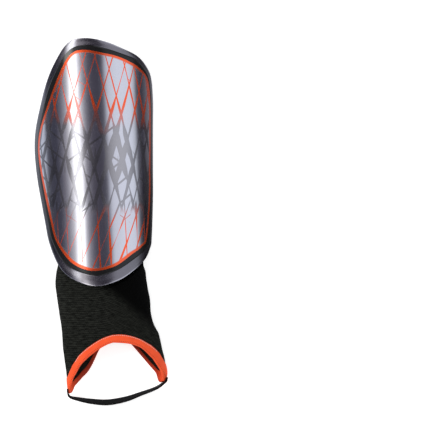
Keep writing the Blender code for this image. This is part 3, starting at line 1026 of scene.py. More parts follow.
@dataclass(frozen=True)
class MouldedFoam:
    """Dense satin foam with a smooth skin, and with crosses and splinters pressed into its recess. The
    recess and the pressed lines are painted darker, as shade.
    """

    colour: Colour = (0.0105, 0.0105, 0.0110)
    worn: Colour = (0.0200, 0.0200, 0.0210)
    # The land's tone, lighter than the recess, which takes painted shade.
    edge: Colour = (0.0260, 0.0260, 0.0270)
    painted_groove_shade: Colour = (0.0015, 0.0015, 0.0015)
    cross_pitch: float = 0.0107
    cross_slants: tuple[float, float] = (0.22, -0.22)
    cross_seed: float = 40.0

    def material(self) -> bpy.types.Material:
        """Make the material.

        Returns:
            The material.
        """
        sheet = NodeSheet("moulded_foam")
        place = sheet.place()
        at = sheet.cloth()
        across, along = at
        recess = sheet.mark().rise(0.5, 0.9)
        lines = []
        for k, slant in enumerate(self.cross_slants):
            beside = sheet.lanes(at, slant, self.cross_pitch, (self.cross_seed + k,), 0.16)[1]
            lines.append(1 - (abs(beside) * self.cross_pitch).rise(0.00025, 0.00055))
        ends = (0.0915 - abs(across + 0.006) * 0.28 - along).rise(0.0, 0.0015)
        crosses = reduce(Wire.most, lines) * ends
        lean = sheet.point((across + along * 0.22) * 92.0, (along - across * 0.5) * 36.0)
        settings = {"feature": "DISTANCE_TO_EDGE", "voronoi_dimensions": "2D"}
        inputs = {"Vector": lean, "Scale": 1.0}
        gap = sheet.add("ShaderNodeTexVoronoi", settings, inputs, "Distance")
        shown = sheet.noise(place, 26.0, 1.0).rise(0.36, 0.42)
        cracks = gap.rise(0.030, 0.040) * (1 - gap.rise(0.070, 0.085)) * shown
        lower = (-along).rise(-0.030, -0.010)
        pressed = sheet.blend(lower, crosses, cracks) * recess
        skin = sheet.noise(place, 1500.0, 2.0)
        cloud = sheet.noise(place, 30.0, 2.0)
        colour = sheet.mix(cloud.rise(0.35, 0.75), self.colour, self.worn)
        # Painted shade: the recess is darker than the land around it.
        colour = sheet.mix(recess, self.edge, colour)
        rough = cloud * 0.12 + 0.27 + pressed * 0.4
        # Painted shade in the pressed lines.
        sheet.surface(sheet.mix(pressed, colour, self.painted_groove_shade), rough, gleam=0.62)
        sheet.bump(skin * 0.10 - pressed, 0.0004)
        return sheet.material


@dataclass(frozen=True)
class RibbedKnit:
    """Black elastic knit: fine ribs that run across the sleeve, each a row of small loops, darkened at the
    upper right of the raised front as painted shade.
    """

    valley: Colour = (0.0030, 0.0033, 0.0027)
    crest: Colour = (0.0260, 0.0276, 0.0236)
    # The knit's painted shade at the upper right of the raised front.
    painted_knit_shade: Colour = (0.0009, 0.0009, 0.0008)
    rib: float = 0.00175
    loop: float = 0.00210

    def material(self) -> bpy.types.Material:
        """Make the material.

        Returns:
            The material.
        """
        sheet = NodeSheet("ribbed_knit")
        across, down = sheet.cloth()
        place = sheet.place()
        drift = sheet.noise(place, 70.0, 2.0) * 0.00060
        row = (down + drift) / self.rib
        crest = row.wave()
        stagger = row.floor() * 0.5
        stitch = (across / self.loop + stagger).wave()
        loops = crest * (stitch * 0.5 + 0.5)
        fuzz = sheet.noise(place, 1500.0, 3.0, 0.7)
        slub = sheet.noise(sheet.point(across * 190.0, down * 620.0), 1.0, 2.0, 0.7)
        light = (loops * 0.70 + (slub - 0.5) * 2.2 + (fuzz - 0.5) * 0.9 + 0.08).clamp()
        knit = sheet.mix(light, self.valley, self.crest)
        side, along = sheet.parts(place)
        # Painted shade: the raised front darkens towards its upper right.
        raised = sheet.parts(place, 2)[0].rise(0.0095, 0.0150)
        painted_knit_shade = (side + (along + 0.0659) * 1.2 + 0.0010).rise(0.0, 0.020) * raised
        sheet.surface(sheet.mix(painted_knit_shade, knit, self.painted_knit_shade), roughness=0.92, gleam=0.06)
        sheet.finish("Sheen Weight", 0.005)
        sheet.finish("Sheen Roughness", 0.5)
        sheet.bump(loops * 0.8 + fuzz * 0.35, 0.00040)
        return sheet.material


@dataclass(frozen=True)
class BindingTape:
    """Bright orange folded tape: a fine twill with soft fibres, with painted shade inside the sleeve's back
    wall.
    """

    colour: Colour = (1.000, 0.112, 0.032)
    deep: Colour = (0.700, 0.058, 0.016)
    # The tape's painted shade inside the back wall.
    shaded: Colour = (0.270, 0.022, 0.008)
    thread: float = 0.00048

    def material(self) -> bpy.types.Material:
        """Make the material.

        Returns:
            The material.
        """
        sheet = NodeSheet("binding_tape")
        place = sheet.place()
        around, down = sheet.cloth()
        twill = ((around + down * 1.6) / self.thread).wave()
        weft = (around / (self.thread * 2.2)).wave()
        cloud = sheet.noise(place, 120.0, 3.0)
        fuzz = sheet.noise(place, 3000.0, 2.0)
        wear = twill * 0.22 + weft * 0.12 + (cloud - 0.5) * 0.9 + fuzz * 0.15
        tape = sheet.mix(wear.clamp(), self.colour, self.deep)
        # Painted shade: the tape darkens where it lies low, on the back wall's inner side.
        low = (1 - sheet.parts(place, 2)[0].rise(0.0030, 0.0080)) * down.rise(0.0088, 0.0098)
        sheet.surface(sheet.mix(low * 0.92, tape, self.shaded), roughness=0.72, gleam=0.30)
        sheet.finish("Sheen Weight", 0.08)
        sheet.finish("Sheen Roughness", 0.4)
        sheet.bump(twill * 0.6 + weft * 0.4 + fuzz * 0.4, 0.00010)
        return sheet.material


@dataclass(frozen=True)
class RibbedElastic:
    """Black woven elastic with ribs along it and a fine weave between them."""

    name: str = "ribbed_elastic"
    rib: float = 0.00150
    pick: float = 0.0009
    valley: Colour = (0.0024, 0.0024, 0.0025)
    crest: Colour = (0.0105, 0.0105, 0.0107)
    gleam: float = 0.35

    def material(self) -> bpy.types.Material:
        """Make the material.

        Returns:
            The material.
        """
        sheet = NodeSheet(self.name)
        along, aside = sheet.cloth()
        place = sheet.place()
        rib = (aside / self.rib).wave()
        pick = (along / self.pick + (aside / self.rib).floor() * 0.5).wave()
        fuzz = sheet.noise(place, 2600.0, 2.0)
        light = (rib * 0.55 + pick * 0.30 + (fuzz - 0.5) * 0.6).clamp()
        sheet.surface(sheet.mix(light, self.valley, self.crest), roughness=0.70, gleam=self.gleam)
        sheet.bump(rib * 0.7 + pick * 0.3 + fuzz * 0.2, 0.00022)
        return sheet.material


@dataclass(frozen=True)
class PatchCloth:
    """Stiff black woven patch with a faint plain weave."""

    colour: Colour = (0.0085, 0.0085, 0.0090)
    light: Colour = (0.0270, 0.0270, 0.0280)
    thread: float = 0.0007

    def material(self) -> bpy.types.Material:
        """Make the material.

        Returns:
            The material.
        """
        sheet = NodeSheet("patch_cloth")
        along, aside = sheet.cloth()
        place = sheet.place()
        weave = (along / self.thread).wave() * (aside / self.thread).wave()
        cloud = sheet.noise(place, 90.0, 3.0)
        fuzz = sheet.noise(place, 2600.0, 2.0)
        light = (weave * 0.5 + (cloud - 0.5) * 0.7 + (fuzz - 0.5) * 0.5 + 0.15).clamp()
        sheet.surface(sheet.mix(light, self.colour, self.light), roughness=0.80, gleam=0.30)
        sheet.bump(weave + fuzz * 0.5, 0.00012)
        return sheet.material


@dataclass(frozen=True)
class Thread:
    """Twisted sewing thread of one colour."""

    name: str
    colour: Colour
    shade: Colour

    def material(self) -> bpy.types.Material:
        """Make the material.

        Returns:
            The material.
        """
        sheet = NodeSheet(self.name)
        place = sheet.place()
        twist = sheet.noise(place, 1800.0, 2.0)
        colour = sheet.mix(twist.rise(0.3, 0.7), self.shade, self.colour)
        sheet.surface(colour, roughness=0.65, gleam=0.50)
        sheet.bump(twist, 0.00008)
        return sheet.material


class ThreadColour(Enum):
    """The sewing threads that the guard is made with."""

    WHITE = Thread("white_thread", (0.83, 0.80, 0.78), (0.60, 0.50, 0.46))
    RUST = Thread("rust_thread", (0.42, 0.040, 0.016), (0.26, 0.022, 0.010))
    BLACK = Thread("black_thread", (0.055, 0.055, 0.057), (0.014, 0.014, 0.014))


def dress(
    piece: bpy.types.Object, origin: Vector, material: bpy.types.Material, slot: str, *nodes: str
) -> None:
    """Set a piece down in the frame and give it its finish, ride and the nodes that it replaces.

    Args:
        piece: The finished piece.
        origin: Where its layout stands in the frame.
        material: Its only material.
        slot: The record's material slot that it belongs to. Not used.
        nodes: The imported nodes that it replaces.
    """
    Bench.shift(piece, origin)
    piece.data.materials.clear()
    piece.data.materials.append(material)
    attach(piece, "root")
    if nodes:
        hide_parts(*nodes)
    LOG.info("%s: %d faces", piece.name, len(piece.data.polygons))


@dataclass
class Plate:
    """The hard plate, with its flange, the step up to its field and its rounded cut edge."""

    arch: Arch
    around: int = 288
    edge_round: float = 0.00032
    overhang: float = 1.016
    ramp_steps: int = 6
    on_face_reach: float = 0.0001
    step_mark: float = 1.2
    sharp_edge: float = 50.0
    field_shares: tuple = (0.97, 0.93, 0.87, 0.80, 0.72, 0.63, 0.54, 0.45, 0.36, 0.27, 0.18, 0.09, 0.0)
    back_shares: tuple = (1.0, 0.8, 0.6, 0.4, 0.2, 0.0)

    def build(self, finish: PrintedFilm) -> bpy.types.Object:
        """Make the plate and dress it.

        Args:
            finish: Its film.

        Returns:
            The piece.
        """
        edge = self.arch.outline(self.around)
        for point in edge:
            point.place.x *= self.overhang
        rings = self._rings(edge)
        read = reader(rings)
        piece = Bench.grid(
            "plate",
            self.around,
            len(rings) - 1,
            lambda u, v: read(u, v)[0],
            lambda u, v: self._print_place(read(u, v)[0]),
            marks=lambda u, v: read(u, v)[1],
        )
        Bench.smooth(piece, self.sharp_edge)
        self._true_normals(piece)
        dress(piece, self.arch.origin, finish.material(), "shell", "shell")
        return piece

    def _print_place(self, point: Vector) -> tuple[float, float]:
        """Metres across the face and along the plate at a point on it."""
        radius = self.arch.radius
        return radius * math.asin(max(-1.0, min(1.0, point.x / radius))), point.y

    def _rings(self, edge: list[EdgePoint]) -> list[list[tuple[Vector, float]]]:
        """The rings from the middle of the outer face over the edge to the middle of the inner face.

        Args:
            edge: The steps round the plate's outline.

        Returns:
            The rings, with a point and a mark for each step. The mark is 1 where the flange ends, 2 where
            the black band ends, and 3 where the orange line ends.
        """
        arch = self.arch
        step, wall, soft = arch.flange_step, arch.wall, self.edge_round
        rings = []

        def ring(of: Callable[[EdgePoint], tuple[float, float, float]]) -> None:
            """Add a ring from each point's distance in, inset and mark."""
            row = []
            for point in edge:
                inward, inset, mark = of(point)
                row.append((arch.on(point.place + point.inward * inward, inset), mark))
            rings.append(row)

        def shrunk(share: float, inset: float, mark: float) -> None:
            """Add a ring that is the orange line's inner edge shrunk towards the middle."""
            rings.append([(arch.on((p.place + p.inward * p.line) * share, inset), mark) for p in edge])

        for share in reversed(self.field_shares):
            shrunk(share, 0.0, 4.0 - share)
        ring(lambda p: (p.line, 0.0, 3.0))
        ring(lambda p: (between(p.band, p.line, 0.5), 0.0, 2.5))
        ring(lambda p: (p.band, 0.0, 2.0))
        for k in range(self.ramp_steps, -1, -1):
            share = k / self.ramp_steps
            ring(
                lambda p, share=share: (
                    p.flange + arch.step_ramp * share,
                    step * (1 - ease(0.0, 1.0, share)),
                    1.0 + arch.step_ramp * share / (p.band - p.flange),
                )
            )
        for share in (0.9, 0.5):
            ring(lambda p, share=share: (between(soft, p.flange, share), step, share))
        for row in (
            (soft, step, 0.1),
            (soft * 0.3, step + soft * 0.3, 0.05),
            (0.0, step + soft, 0.0),
            (0.0, wall - soft * 0.6, 0.0),
            (soft * 0.5, wall, 0.0),
        ):
            ring(lambda p, row=row: row)
        for share in self.back_shares:
            shrunk(share, wall, 0.0)
        return rings

    def _true_normals(self, piece: bpy.types.Object) -> None:
        """Give the outer face inside the flange's step the arch's normals, so that reflections run true.

        Args:
            piece: The plate, shaded smooth.
        """
        mesh = piece.data
        own = []
        for vertex, mark in zip(mesh.vertices, mesh.attributes["mark"].data):
            on_face = self.arch.on(vertex.co.to_2d(), 0.0)
            flat = (vertex.co - on_face).length < self.on_face_reach and mark.value > self.step_mark
            own.append(self.arch.normal(vertex.co) if flat else Vector())
        mesh.normals_split_custom_set_from_vertices(own)


@dataclass
class FoamLiner:
    """The moulded foam: a soft-edged flat land all round, a fine ridge inside it and the recess."""

    arch: Arch
    around: int = 240
    corner: float = 0.0009
    shoulder: float = 0.0003
    overlap: float = 0.0020
    ridge: float = 0.0004
    ridge_steps: tuple = (0.0014, 0.0008, 0.0003)
    ramp_round: float = 0.0002
    sharp_edge: float = 60.0
    field_shares: tuple = (0.94, 0.87, 0.78, 0.68, 0.57, 0.46, 0.35, 0.24, 0.12, 0.0)
    cover_shares: tuple = (0.75, 0.5, 0.25, 0.0)

    def build(self, finish: MouldedFoam) -> bpy.types.Object:
        """Make the liner and dress it.

        Args:
            finish: Its foam.

        Returns:
            The piece.
        """
        rings = self._rings(self.arch.outline(self.around))
        read = reader(rings)
        piece = Bench.grid(
            "liner",
            self.around,
            len(rings) - 1,
            lambda u, v: read(u, v)[0],
            lambda u, v: read(u, v)[0].to_2d(),
            marks=lambda u, v: read(u, v)[1],
        )
        Bench.smooth(piece, self.sharp_edge)
        dress(piece, self.arch.origin, finish.material(), "foam", "foam_liner")
        return piece

    def _rings(self, edge: list[EdgePoint]) -> list[list[tuple[Vector, float]]]:
        """The rings from the middle of the upper face over the edge to the middle of the recess.

        Args:
            edge: The steps round the plate's outline.

        Returns:
            The rings, with a point and a mark for each step. The mark is 1 in the recess.
        """
        arch = self.arch
        rings = []
        for share in reversed(self.cover_shares):
            rings.append([(arch.on(point.place * share, arch.foam_top), 0.0) for point in edge])
        soft = self.corner
        columns = []
        for point in edge:
            above = arch.on(point.place, arch.foam_top)
            below = arch.on(point.place, arch.foam_rim)
            corner = Vector((above.x, above.y, below.z))
            inward = point.inward.to_3d()
            recess = (corner + inward * (arch.land + arch.land_ramp)).to_2d()
            floor = arch.under(recess, arch.foam_field)
            lip = corner + inward * arch.land
            before, start, end = (corner + inward * (arch.land - step) for step in self.ridge_steps)
            ridge = UP * self.ridge
            bulge = UP * self.ramp_round
            land = [
                above + inward * self.overlap,
                above + inward * self.shoulder,
                above.lerp(corner, 0.08),
                above.lerp(corner, 0.5),
                corner + UP * soft,
                corner + (inward + UP) * soft * 0.29,
                corner + inward * soft,
                corner + inward * arch.land * 0.45,
                before,
                start - ridge,
                end - ridge,
            ]
            ramp = [
                (lip, 0.1),
                (lip.lerp(floor, 0.35) - bulge, 0.3),
                (lip.lerp(floor, 0.75) + bulge, 0.6),
                (floor, 1.0),
            ]
            columns.append([(place, 0.0) for place in land] + ramp)
        rings += [list(ring) for ring in zip(*columns)]
        recess = [column[-1][0].to_2d() for column in columns]
        for share in self.field_shares:
            rings.append([(arch.under(place * share, arch.foam_field), 1.0) for place in recess])
        return rings


class Ceiling:
    """How high a piece can lie at a place before it meets the foam liner's underside."""

    def __init__(self, arch: Arch, rays: int = 8) -> None:
        """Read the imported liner.

        Args:
            arch: The arch, for where it stands in the frame.
            rays: How many places round a point are looked at.
        """
        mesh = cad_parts["foam_liner"].data
        places = [vertex.co - arch.origin for vertex in mesh.vertices]
        faces = [tuple(face.vertices) for face in mesh.polygons]
        self.tree = BVHTree.FromPolygons(places, faces)
        self.rays = rays
        self.floor = -arch.depth

    def height(self, x: float, y: float, reach: float) -> float:
        """The liner's lowest point above a circle of that reach round the place, or infinity beside it.

        Args:
            x: The place across.
            y: The place along.
            reach: The circle's radius.

        Returns:
            The height, in the arch's layout.
        """
        lowest = math.inf
        for k in range(self.rays + 1):
            aside = reach if k else 0.0
            turn = math.tau * k / self.rays
            start = Vector((x + aside * math.cos(turn), y + aside * math.sin(turn), self.floor))
            hit = self.tree.ray_cast(start, UP)[0]
            if hit is not None:
                lowest = min(lowest, hit.z)
        return lowest


class Side(Enum):
    """A side of the guard, as the sign of X."""

    LEFT = -1
    RIGHT = 1


@dataclass
class StitchLine:
    """A line of sewn stitches: one small stitch modelled once and copied along a path."""

    name: str
    length: float
    pitch: float
    thickness: float
    tilt: float = 0.0
    sides: int = 6
    bevel: float = 0.30
    sink: float = 0.45

    def build(
        self,
        paths: Sequence[Sequence[tuple[Vector, Vector]]],
        origin: Vector,
        material: bpy.types.Material,
        slot: str,
    ) -> bpy.types.Object:
        """Sew along the paths.

        Args:
            paths: For each path its points, each with the direction out of the cloth.
            origin: Where the layout stands in the frame.
            material: The thread.
            slot: The record's material slot that it belongs to.

        Returns:
            All the stitches as one piece.
        """
        points, faces = self._one()
        every: list[Vector] = []
        sewn: list[tuple[int, ...]] = []
        for spot in (spot for path in paths for spot in self._spots(path)):
            start = len(every)
            every += [spot @ point for point in points]
            sewn += [tuple(start + corner for corner in face) for face in faces]
        mesh = bpy.data.meshes.new(self.name)
        mesh.from_pydata(every, [], sewn)
        mesh.update()
        piece = bpy.data.objects.new(self.name, mesh)
        bpy.context.scene.collection.objects.link(piece)
        Bench.smooth(piece, angle=80.0)
        dress(piece, origin, material, slot)
        return piece

    def _one(self) -> tuple[list[Vector], list[tuple[int, ...]]]:
        """One stitch that lies along X: a short thread that sinks into the cloth at both ends.

        Returns:
            Its points and its faces.
        """
        bpy.ops.object.select_all(action="DESELECT")
        bpy.ops.mesh.primitive_cylinder_add(
            vertices=self.sides,
            radius=self.thickness / 2,
            depth=self.length,
            rotation=(0, math.pi / 2, 0),
        )
        one = bpy.context.active_object
        bpy.ops.object.transform_apply(location=True, rotation=True, scale=True)
        Bench.edit(one, lambda: bpy.ops.mesh.bevel(offset=self.thickness * self.bevel, segments=1))
        points = []
        for vertex in one.data.vertices:
            share = vertex.co.x / (self.length / 2)
            points.append(vertex.co - UP * self.thickness * self.sink * share**4)
        faces = [tuple(face.vertices) for face in one.data.polygons]
        bpy.data.objects.remove(one, do_unlink=True)
        return points, faces

    def _spots(self, path: Sequence[tuple[Vector, Vector]]) -> list[Matrix]:
        """Where the stitches of one path lie.

        Args:
            path: The path's points, each with the direction out of the cloth.

        Returns:
            A matrix for each stitch.
        """
        steps = [(path[i + 1][0] - path[i][0]).length for i in range(len(path) - 1)]
        count = max(1, int(sum(steps) / self.pitch))
        spots = []
        i = 0
        walked = 0.0
        for k in range(count):
            target = (k + 0.5) * self.pitch
            while i < len(steps) - 1 and walked + steps[i] < target:
                walked += steps[i]
                i += 1
            share = (target - walked) / max(steps[i], 1e-9)
            point = path[i][0].lerp(path[i + 1][0], share)
            out = path[i][1].lerp(path[i + 1][1], share).normalized()
            way = (path[i + 1][0] - path[i][0]).normalized()
            way = (way - out * way.dot(out)).normalized()
            side = out.cross(way)
            turn = math.radians(self.tilt)
            along = way * math.cos(turn) + side * math.sin(turn)
            aside = out.cross(along)
            spots.append(Matrix.Translation(point) @ Matrix((along, aside, out)).transposed().to_4x4())
        return spots


@dataclass
class BackStrap:
    """The strap across the back of the leg: two ribbed elastics and the stitched patch on their ends."""

    arch: Arch
    ceiling: Ceiling
    width: float = 0.0285
    thickness: float = 0.0013
    left_station: float = 0.556
    right_station: float = 0.349
    bow: float = 0.0120
    lap: float = 0.0060
    tab_length: float = 0.0672
    tab_width: float = 0.0300
    tab_thickness: float = 0.0018
    tab_centre: float = 0.500
    reach: float = 0.0028
    edge_tries: int = 6
    steps: int = 36
    rows: int = 14
    soft: float = 0.0004
    border_insets: tuple[float, float] = (0.0016, 0.0032)
    border_steps: int = 20

    def __post_init__(self) -> None:
        """Find where the strap's middle line starts and ends."""
        half = self.arch.length / 2
        left = self.left_station * half
        right = self.right_station * half
        self.start = Vector((self._outline_across(left, Side.LEFT), left))
        self.end = Vector((self._outline_across(right, Side.RIGHT), right))
        self.way = (self.end - self.start).normalized()
        self.aside = Vector((-self.way.y, self.way.x))

    def _outline_across(self, along: float, side: Side) -> float:
        """Where the plate's outline is at a station along it, on one side."""
        return max(across * side.value for across in self.arch.crossings(1, along)) * side.value

    def edge(self, aside: float, side: Side) -> float:
        """Where a line along the strap meets the foam's outer edge, in metres from the strap's start.

        Args:
            aside: How far the line lies beside the strap's middle.
            side: At which end.

        Returns:
            The distance.
        """
        place = (self.start if side is Side.LEFT else self.end) + self.aside * aside
        shrink = 1 - self.arch.foam_top / self.arch.radius
        for _ in range(self.edge_tries):
            across = self._outline_across(place.y, side) * shrink
            place += self.way * ((across - place.x) / self.way.x)
        return (place - self.start).dot(self.way)

    def seat(self, aside: float, side: Side) -> float:
        """The underside of the strap where it lies on the land.

        Args:
            aside: How far beside the strap's middle.
            side: At which end.

        Returns:
            The height.
        """
        at = self.edge(aside, side) - side.value * self.arch.land / 2
        place = self.start + self.way * at + self.aside * aside
        return self.ceiling.height(place.x, place.y, self.reach) - 2 * self.arch.gap - self.thickness

    def line(self, aside: float) -> Callable[[float], Vector]:
        """The strap's underside along one line.

        Args:
            aside: How far the line lies beside the strap's middle.

        Returns:
            A function that gives the point at a distance along the strap.
        """
        low = self.edge(aside, Side.LEFT) + self.arch.land
        high = self.edge(aside, Side.RIGHT) - self.arch.land
        seats = (self.seat(aside, Side.LEFT), self.seat(aside, Side.RIGHT))

        def at(distance: float) -> Vector:
            """The point at a distance along the strap."""
            share = min(1.0, max(0.0, (distance - low) / (high - low)))
            height = between(*seats, share) + self.bow * 4 * share * (1 - share)
            place = self.start + self.way * distance + self.aside * aside
            roof = self.ceiling.height(place.x, place.y, self.reach)
            height = min(height, roof - 2 * self.arch.gap - self.thickness)
            return Vector((place.x, place.y, height))

        return at

    def _slab(
        self,
        name: str,
        width: float,
        thickness: float,
        ends: Callable[[float], tuple[float, float]],
        drop: float,
    ) -> bpy.types.Object:
        """A flat piece of the strap, with softened edges.

        Args:
            name: The piece's name.
            width: Its width.
            thickness: Its thickness, upward from its underside.
            ends: Gives its two ends along the strap, for a distance aside.
            drop: How far it lies under the strap's own underside.

        Returns:
            The piece, still in the layout.
        """
        table = []
        for i in range(self.rows + 1):
            aside = width * (0.5 - i / self.rows)
            line = self.line(aside)
            low, high = ends(aside)
            row = [line(between(low, high, k / self.steps)) - UP * drop for k in range(self.steps + 1)]
            table.append(row)
        read = reader(table, closed=False)
        piece = Bench.grid(
            name, self.steps, self.rows, read, lambda u, v: self._cloth(read(u, v)), outward=DOWN
        )
        Bench.modify(piece, "SMOOTH", factor=0.5, iterations=3)
        Bench.modify(piece, "SOLIDIFY", thickness=thickness, offset=-1.0, use_even_offset=True)
        Bench.modify(piece, "BEVEL", width=self.soft, segments=3, limit_method="ANGLE", angle_limit=1.0)
        Bench.smooth(piece, angle=60.0)
        return piece

    def _cloth(self, point: Vector) -> tuple[float, float]:
        """Metres along and across the strap at a point on it."""
        flat = point.to_2d() - self.start
        return flat.dot(self.way), flat.dot(self.aside)

    def _middle(self) -> float:
        """The distance along the strap of the patch's middle."""
        low = self.edge(0.0, Side.LEFT)
        return between(low, self.edge(0.0, Side.RIGHT), self.tab_centre)

    def _elastic(self, side: Side, material: bpy.types.Material) -> bpy.types.Object:
        """One end of the strap, from the land's outer edge to behind the patch.

        Args:
            side: Which end.
            material: The elastic.

        Returns:
            The piece.
        """
        inner = self._middle() + side.value * (self.tab_length / 2 - self.lap)
        name = side.name.lower()
        piece = self._slab(
            "elastic_" + name,
            self.width,
            self.thickness,
            lambda aside: tuple(sorted((self.edge(aside, side), inner))),
            0.0,
        )
        dress(piece, self.arch.origin, material, "elastic", "strap_elastic_" + name)
        length = abs(self.edge(0.0, side) - inner)
        return piece

    def _tab_borders(self) -> list[list[tuple[Vector, Vector]]]:
        """Two closed lines of stitching round the patch, on its back face.

        Returns:
            For each line its points, each with the direction out of the cloth.
        """
        middle = self._middle()
        drop = 2 * self.arch.gap + self.tab_thickness
        paths = []
        for inset in self.border_insets:
            half = Vector((self.tab_length / 2 - inset, self.tab_width / 2 - inset))
            corners = [(-1, -1), (1, -1), (1, 1), (-1, 1), (-1, -1)]
            path = []
            for (x0, y0), (x1, y1) in zip(corners, corners[1:]):
                for k in range(self.border_steps):
                    share = k / self.border_steps
                    at = middle + between(x0, x1, share) * half.x
                    aside = between(y0, y1, share) * half.y
                    path.append((self.line(aside)(at) - UP * drop, DOWN))
            path.append(path[0])
            paths.append(path)
        return paths

    def build(self, elastic: RibbedElastic, patch: PatchCloth) -> None:
        """Make the strap's pieces and dress them.

        Args:
            elastic: The finish of its two ends.
            patch: The patch's cloth.
        """
        material = elastic.material()
        for side in Side:
            self._elastic(side, material)
        middle = self._middle()
        half = self.tab_length / 2
        drop = 2 * self.arch.gap + self.tab_thickness
        ends = (middle - half, middle + half)
        tab = self._slab("tab", self.tab_width, self.tab_thickness, lambda aside: ends, drop)
        dress(tab, self.arch.origin, patch.material(), "tab", "strap_tab")
        thread = ThreadColour.BLACK.value.material()
        line = StitchLine("tab_stitches", length=0.0021, pitch=0.0029, thickness=0.00055)
        stitches = line.build(self._tab_borders(), self.arch.origin, thread, "tab")


class SeamRun(NamedTuple):
    """One run of stitches on the binding.

    down is its share of the way from the binding's upper to its lower edge, out how far it lies outside the
    knit's middle in metres, and start and end are where it runs round the tube, in half turns.
    """

    down: float
    out: float
    start: float
    end: float


UPPER_SEAM = (SeamRun(0.10, 0.00122, 0.16, 0.80), SeamRun(0.12, 0.00122, 1.06, 1.94))
LOWER_SEAM = (SeamRun(0.76, 0.00128, 0.06, 0.94), SeamRun(0.76, 0.00128, 1.06, 1.94))


@dataclass
class AnkleSleeve:
    """The knitted tube, its binding with two lines of stitching, and the stirrup."""

    arch: Arch
    ceiling: Ceiling
    length: float = 0.1017
    wall: float = 0.0014
    seam: float = 0.0046
    crown: float = 0.0362
    fold_height: float = 0.0105
    panel_rise: float = 0.0560
    binding: float = 0.0026
    stirrup_width: float = 0.0100
    stirrup_thickness: float = 0.0013
    stirrup_height: float = 0.0052
    reach: float = 0.0038
    flatness: float = 3.2
    side_share: float = 0.05
    slant: float = 1.6
    seam_drop: float = -0.1
    bulge_start: float = 0.1
    bulge_end: float = 0.35
    around: int = 192
    rows: int = 84
    tuck: float = 0.0018
    right_lean: float = 10.0
    right_clear: float = -0.0004
    rib_bend: float = 0.019
    bend_start: float = -0.25
    back_ripple: float = 0.00025
    calm_top: float = 0.10
    calm_hem: float = 0.05
    calm_side: float = 0.12
    tape_round: float = 0.018
    tape_flat: float = 0.0105
    cloth_share: float = 0.75
    width_station: float = 0.3
    slope_step: float = 0.01
    seam_steps: int = 120
    stirrup_steps: int = 120
    stirrup_round: float = 0.8
    stirrup_clear: float = 0.0001

    def __post_init__(self) -> None:
        """Work out how far the binding bulges out of the knit."""
        self.bulge = (self.binding - self.wall) / 2

    def fold(self, drop: float, column: str) -> float:
        """Where a side fold is at a drop, across the guard."""
        return from_table(SECTIONS, "drop", drop, column) * self.arch.width / 2

    def across(self, turn: float) -> float:
        """How far across its section a place round the tube is, from -1 to 1.

        Args:
            turn: The place round the tube, with its front from 0 to half a turn.

        Returns:
            The share.
        """
        share = math.cos(turn)
        if math.sin(turn) >= 0:
            return share
        return math.copysign(abs(share) ** (2 / self.flatness), share)

    def spread(self, share: float, drop: float) -> float:
        """Where a share across the section, from -1 to 1, lies across the guard at a drop."""
        return between(self.fold(drop, "left"), self.fold(drop, "right"), (share + 1) / 2)

    def top(self, turn: float) -> float:
        """The drop at which a place round the tube starts: at the plate's edge in front, higher behind.

        Args:
            turn: The place round the tube.

        Returns:
            The drop.
        """
        panel = -self.panel_rise / self.length
        if math.sin(turn) < 0:
            return panel
        share = self.across(turn)
        lowest = min(self.arch.crossings(0, self.spread(share, self.seam_drop)))
        edge = (-self.arch.length / 2 - lowest - self.seam) / self.length
        return between(panel, edge, ease(0.0, self.side_share, 1 - abs(share)))

    def hem(self, turn: float, edge: str) -> float:
        """The drop of the binding's upper or lower edge at a place round the tube."""
        wall = "front" if math.sin(turn) >= 0 else "back"
        return from_table(HEM, "across", self.across(turn), wall + "_" + edge)

    def point(self, turn: float, drop: float) -> Vector:
        """The knit's outer face at a place round the tube and a drop.

        Args:
            turn: The place round the tube.
            drop: The drop.

        Returns:
            The point.
        """
        share = self.across(turn)
        x = self.spread(share, drop)
        y = -self.arch.length / 2 - drop * self.length
        base = self.bulge * ease(self.bulge_start, self.bulge_end, drop)
        fold = base + self.fold_height
        roof = self.ceiling.height(x, y, self.reach) - 2 * self.arch.gap
        if math.sin(turn) >= 0:
            crown = from_table(SECTIONS, "drop", drop, "crown") * self.crown
            z = min(between(fold, crown, math.sqrt(max(0.0, 1 - share**2))), roof)
        else:
            up = 1 - (1 - abs(share) ** self.flatness) ** (1 / self.flatness)
            z = between(base, min(fold, roof - self.wall * self.slant), up)
        return Vector((x, y, max(z, base)))

    def outward(self, turn: float, drop: float) -> Vector:
        """The direction out of the knit at a place round the tube and a drop.

        Args:
            turn: The place round the tube.
            drop: The drop.

        Returns:
            The direction.
        """
        round_step = math.tau / self.around
        down_step = self.slope_step
        around = self.point(turn + round_step, drop) - self.point(turn - round_step, drop)
        down = self.point(turn, drop + down_step) - self.point(turn, drop - down_step)
        normal = around.cross(down)
        return normal.normalized() if normal.length > 0 else UP.copy()

    def soft_folds(self, turn: float, drop: float) -> float:
        """How far the knit stands out of its plain form, by its soft folds.

        Args:
            turn: The place round the tube.
            drop: The drop.

        Returns:
            The distance, in metres.
        """
        if math.sin(turn) <= 0:
            side = math.cos(turn)
            ripple = math.sin(drop * 23.0 + side * 5.0) * math.sin(side * 7.0 + 1.3)
            return self.back_ripple * ripple * ease(-0.55, -0.2, drop)
        share = self.across(turn)
        out = 0.0
        for fold in FOLDS:
            aside = self.spread(share, drop) - self.spread(fold.across, fold.drop)
            away = Vector((aside, -(drop - fold.drop) * self.length)) * MILLIMETRES
            turned = math.radians(fold.turn)
            along = away.x * math.cos(turned) + away.y * math.sin(turned)
            beside = -away.x * math.sin(turned) + away.y * math.cos(turned)
            spent = (along / fold.length) ** 2 * 2 + (beside / fold.width) ** 2 * 2
            out += fold.height * math.exp(-spent)
        calm = ease(0.0, self.calm_top, drop - self.top(turn))
        calm *= ease(0.0, self.calm_hem, self.hem(turn, "up") - drop)
        return out / MILLIMETRES * calm * ease(0.0, self.calm_side, 1 - abs(share))

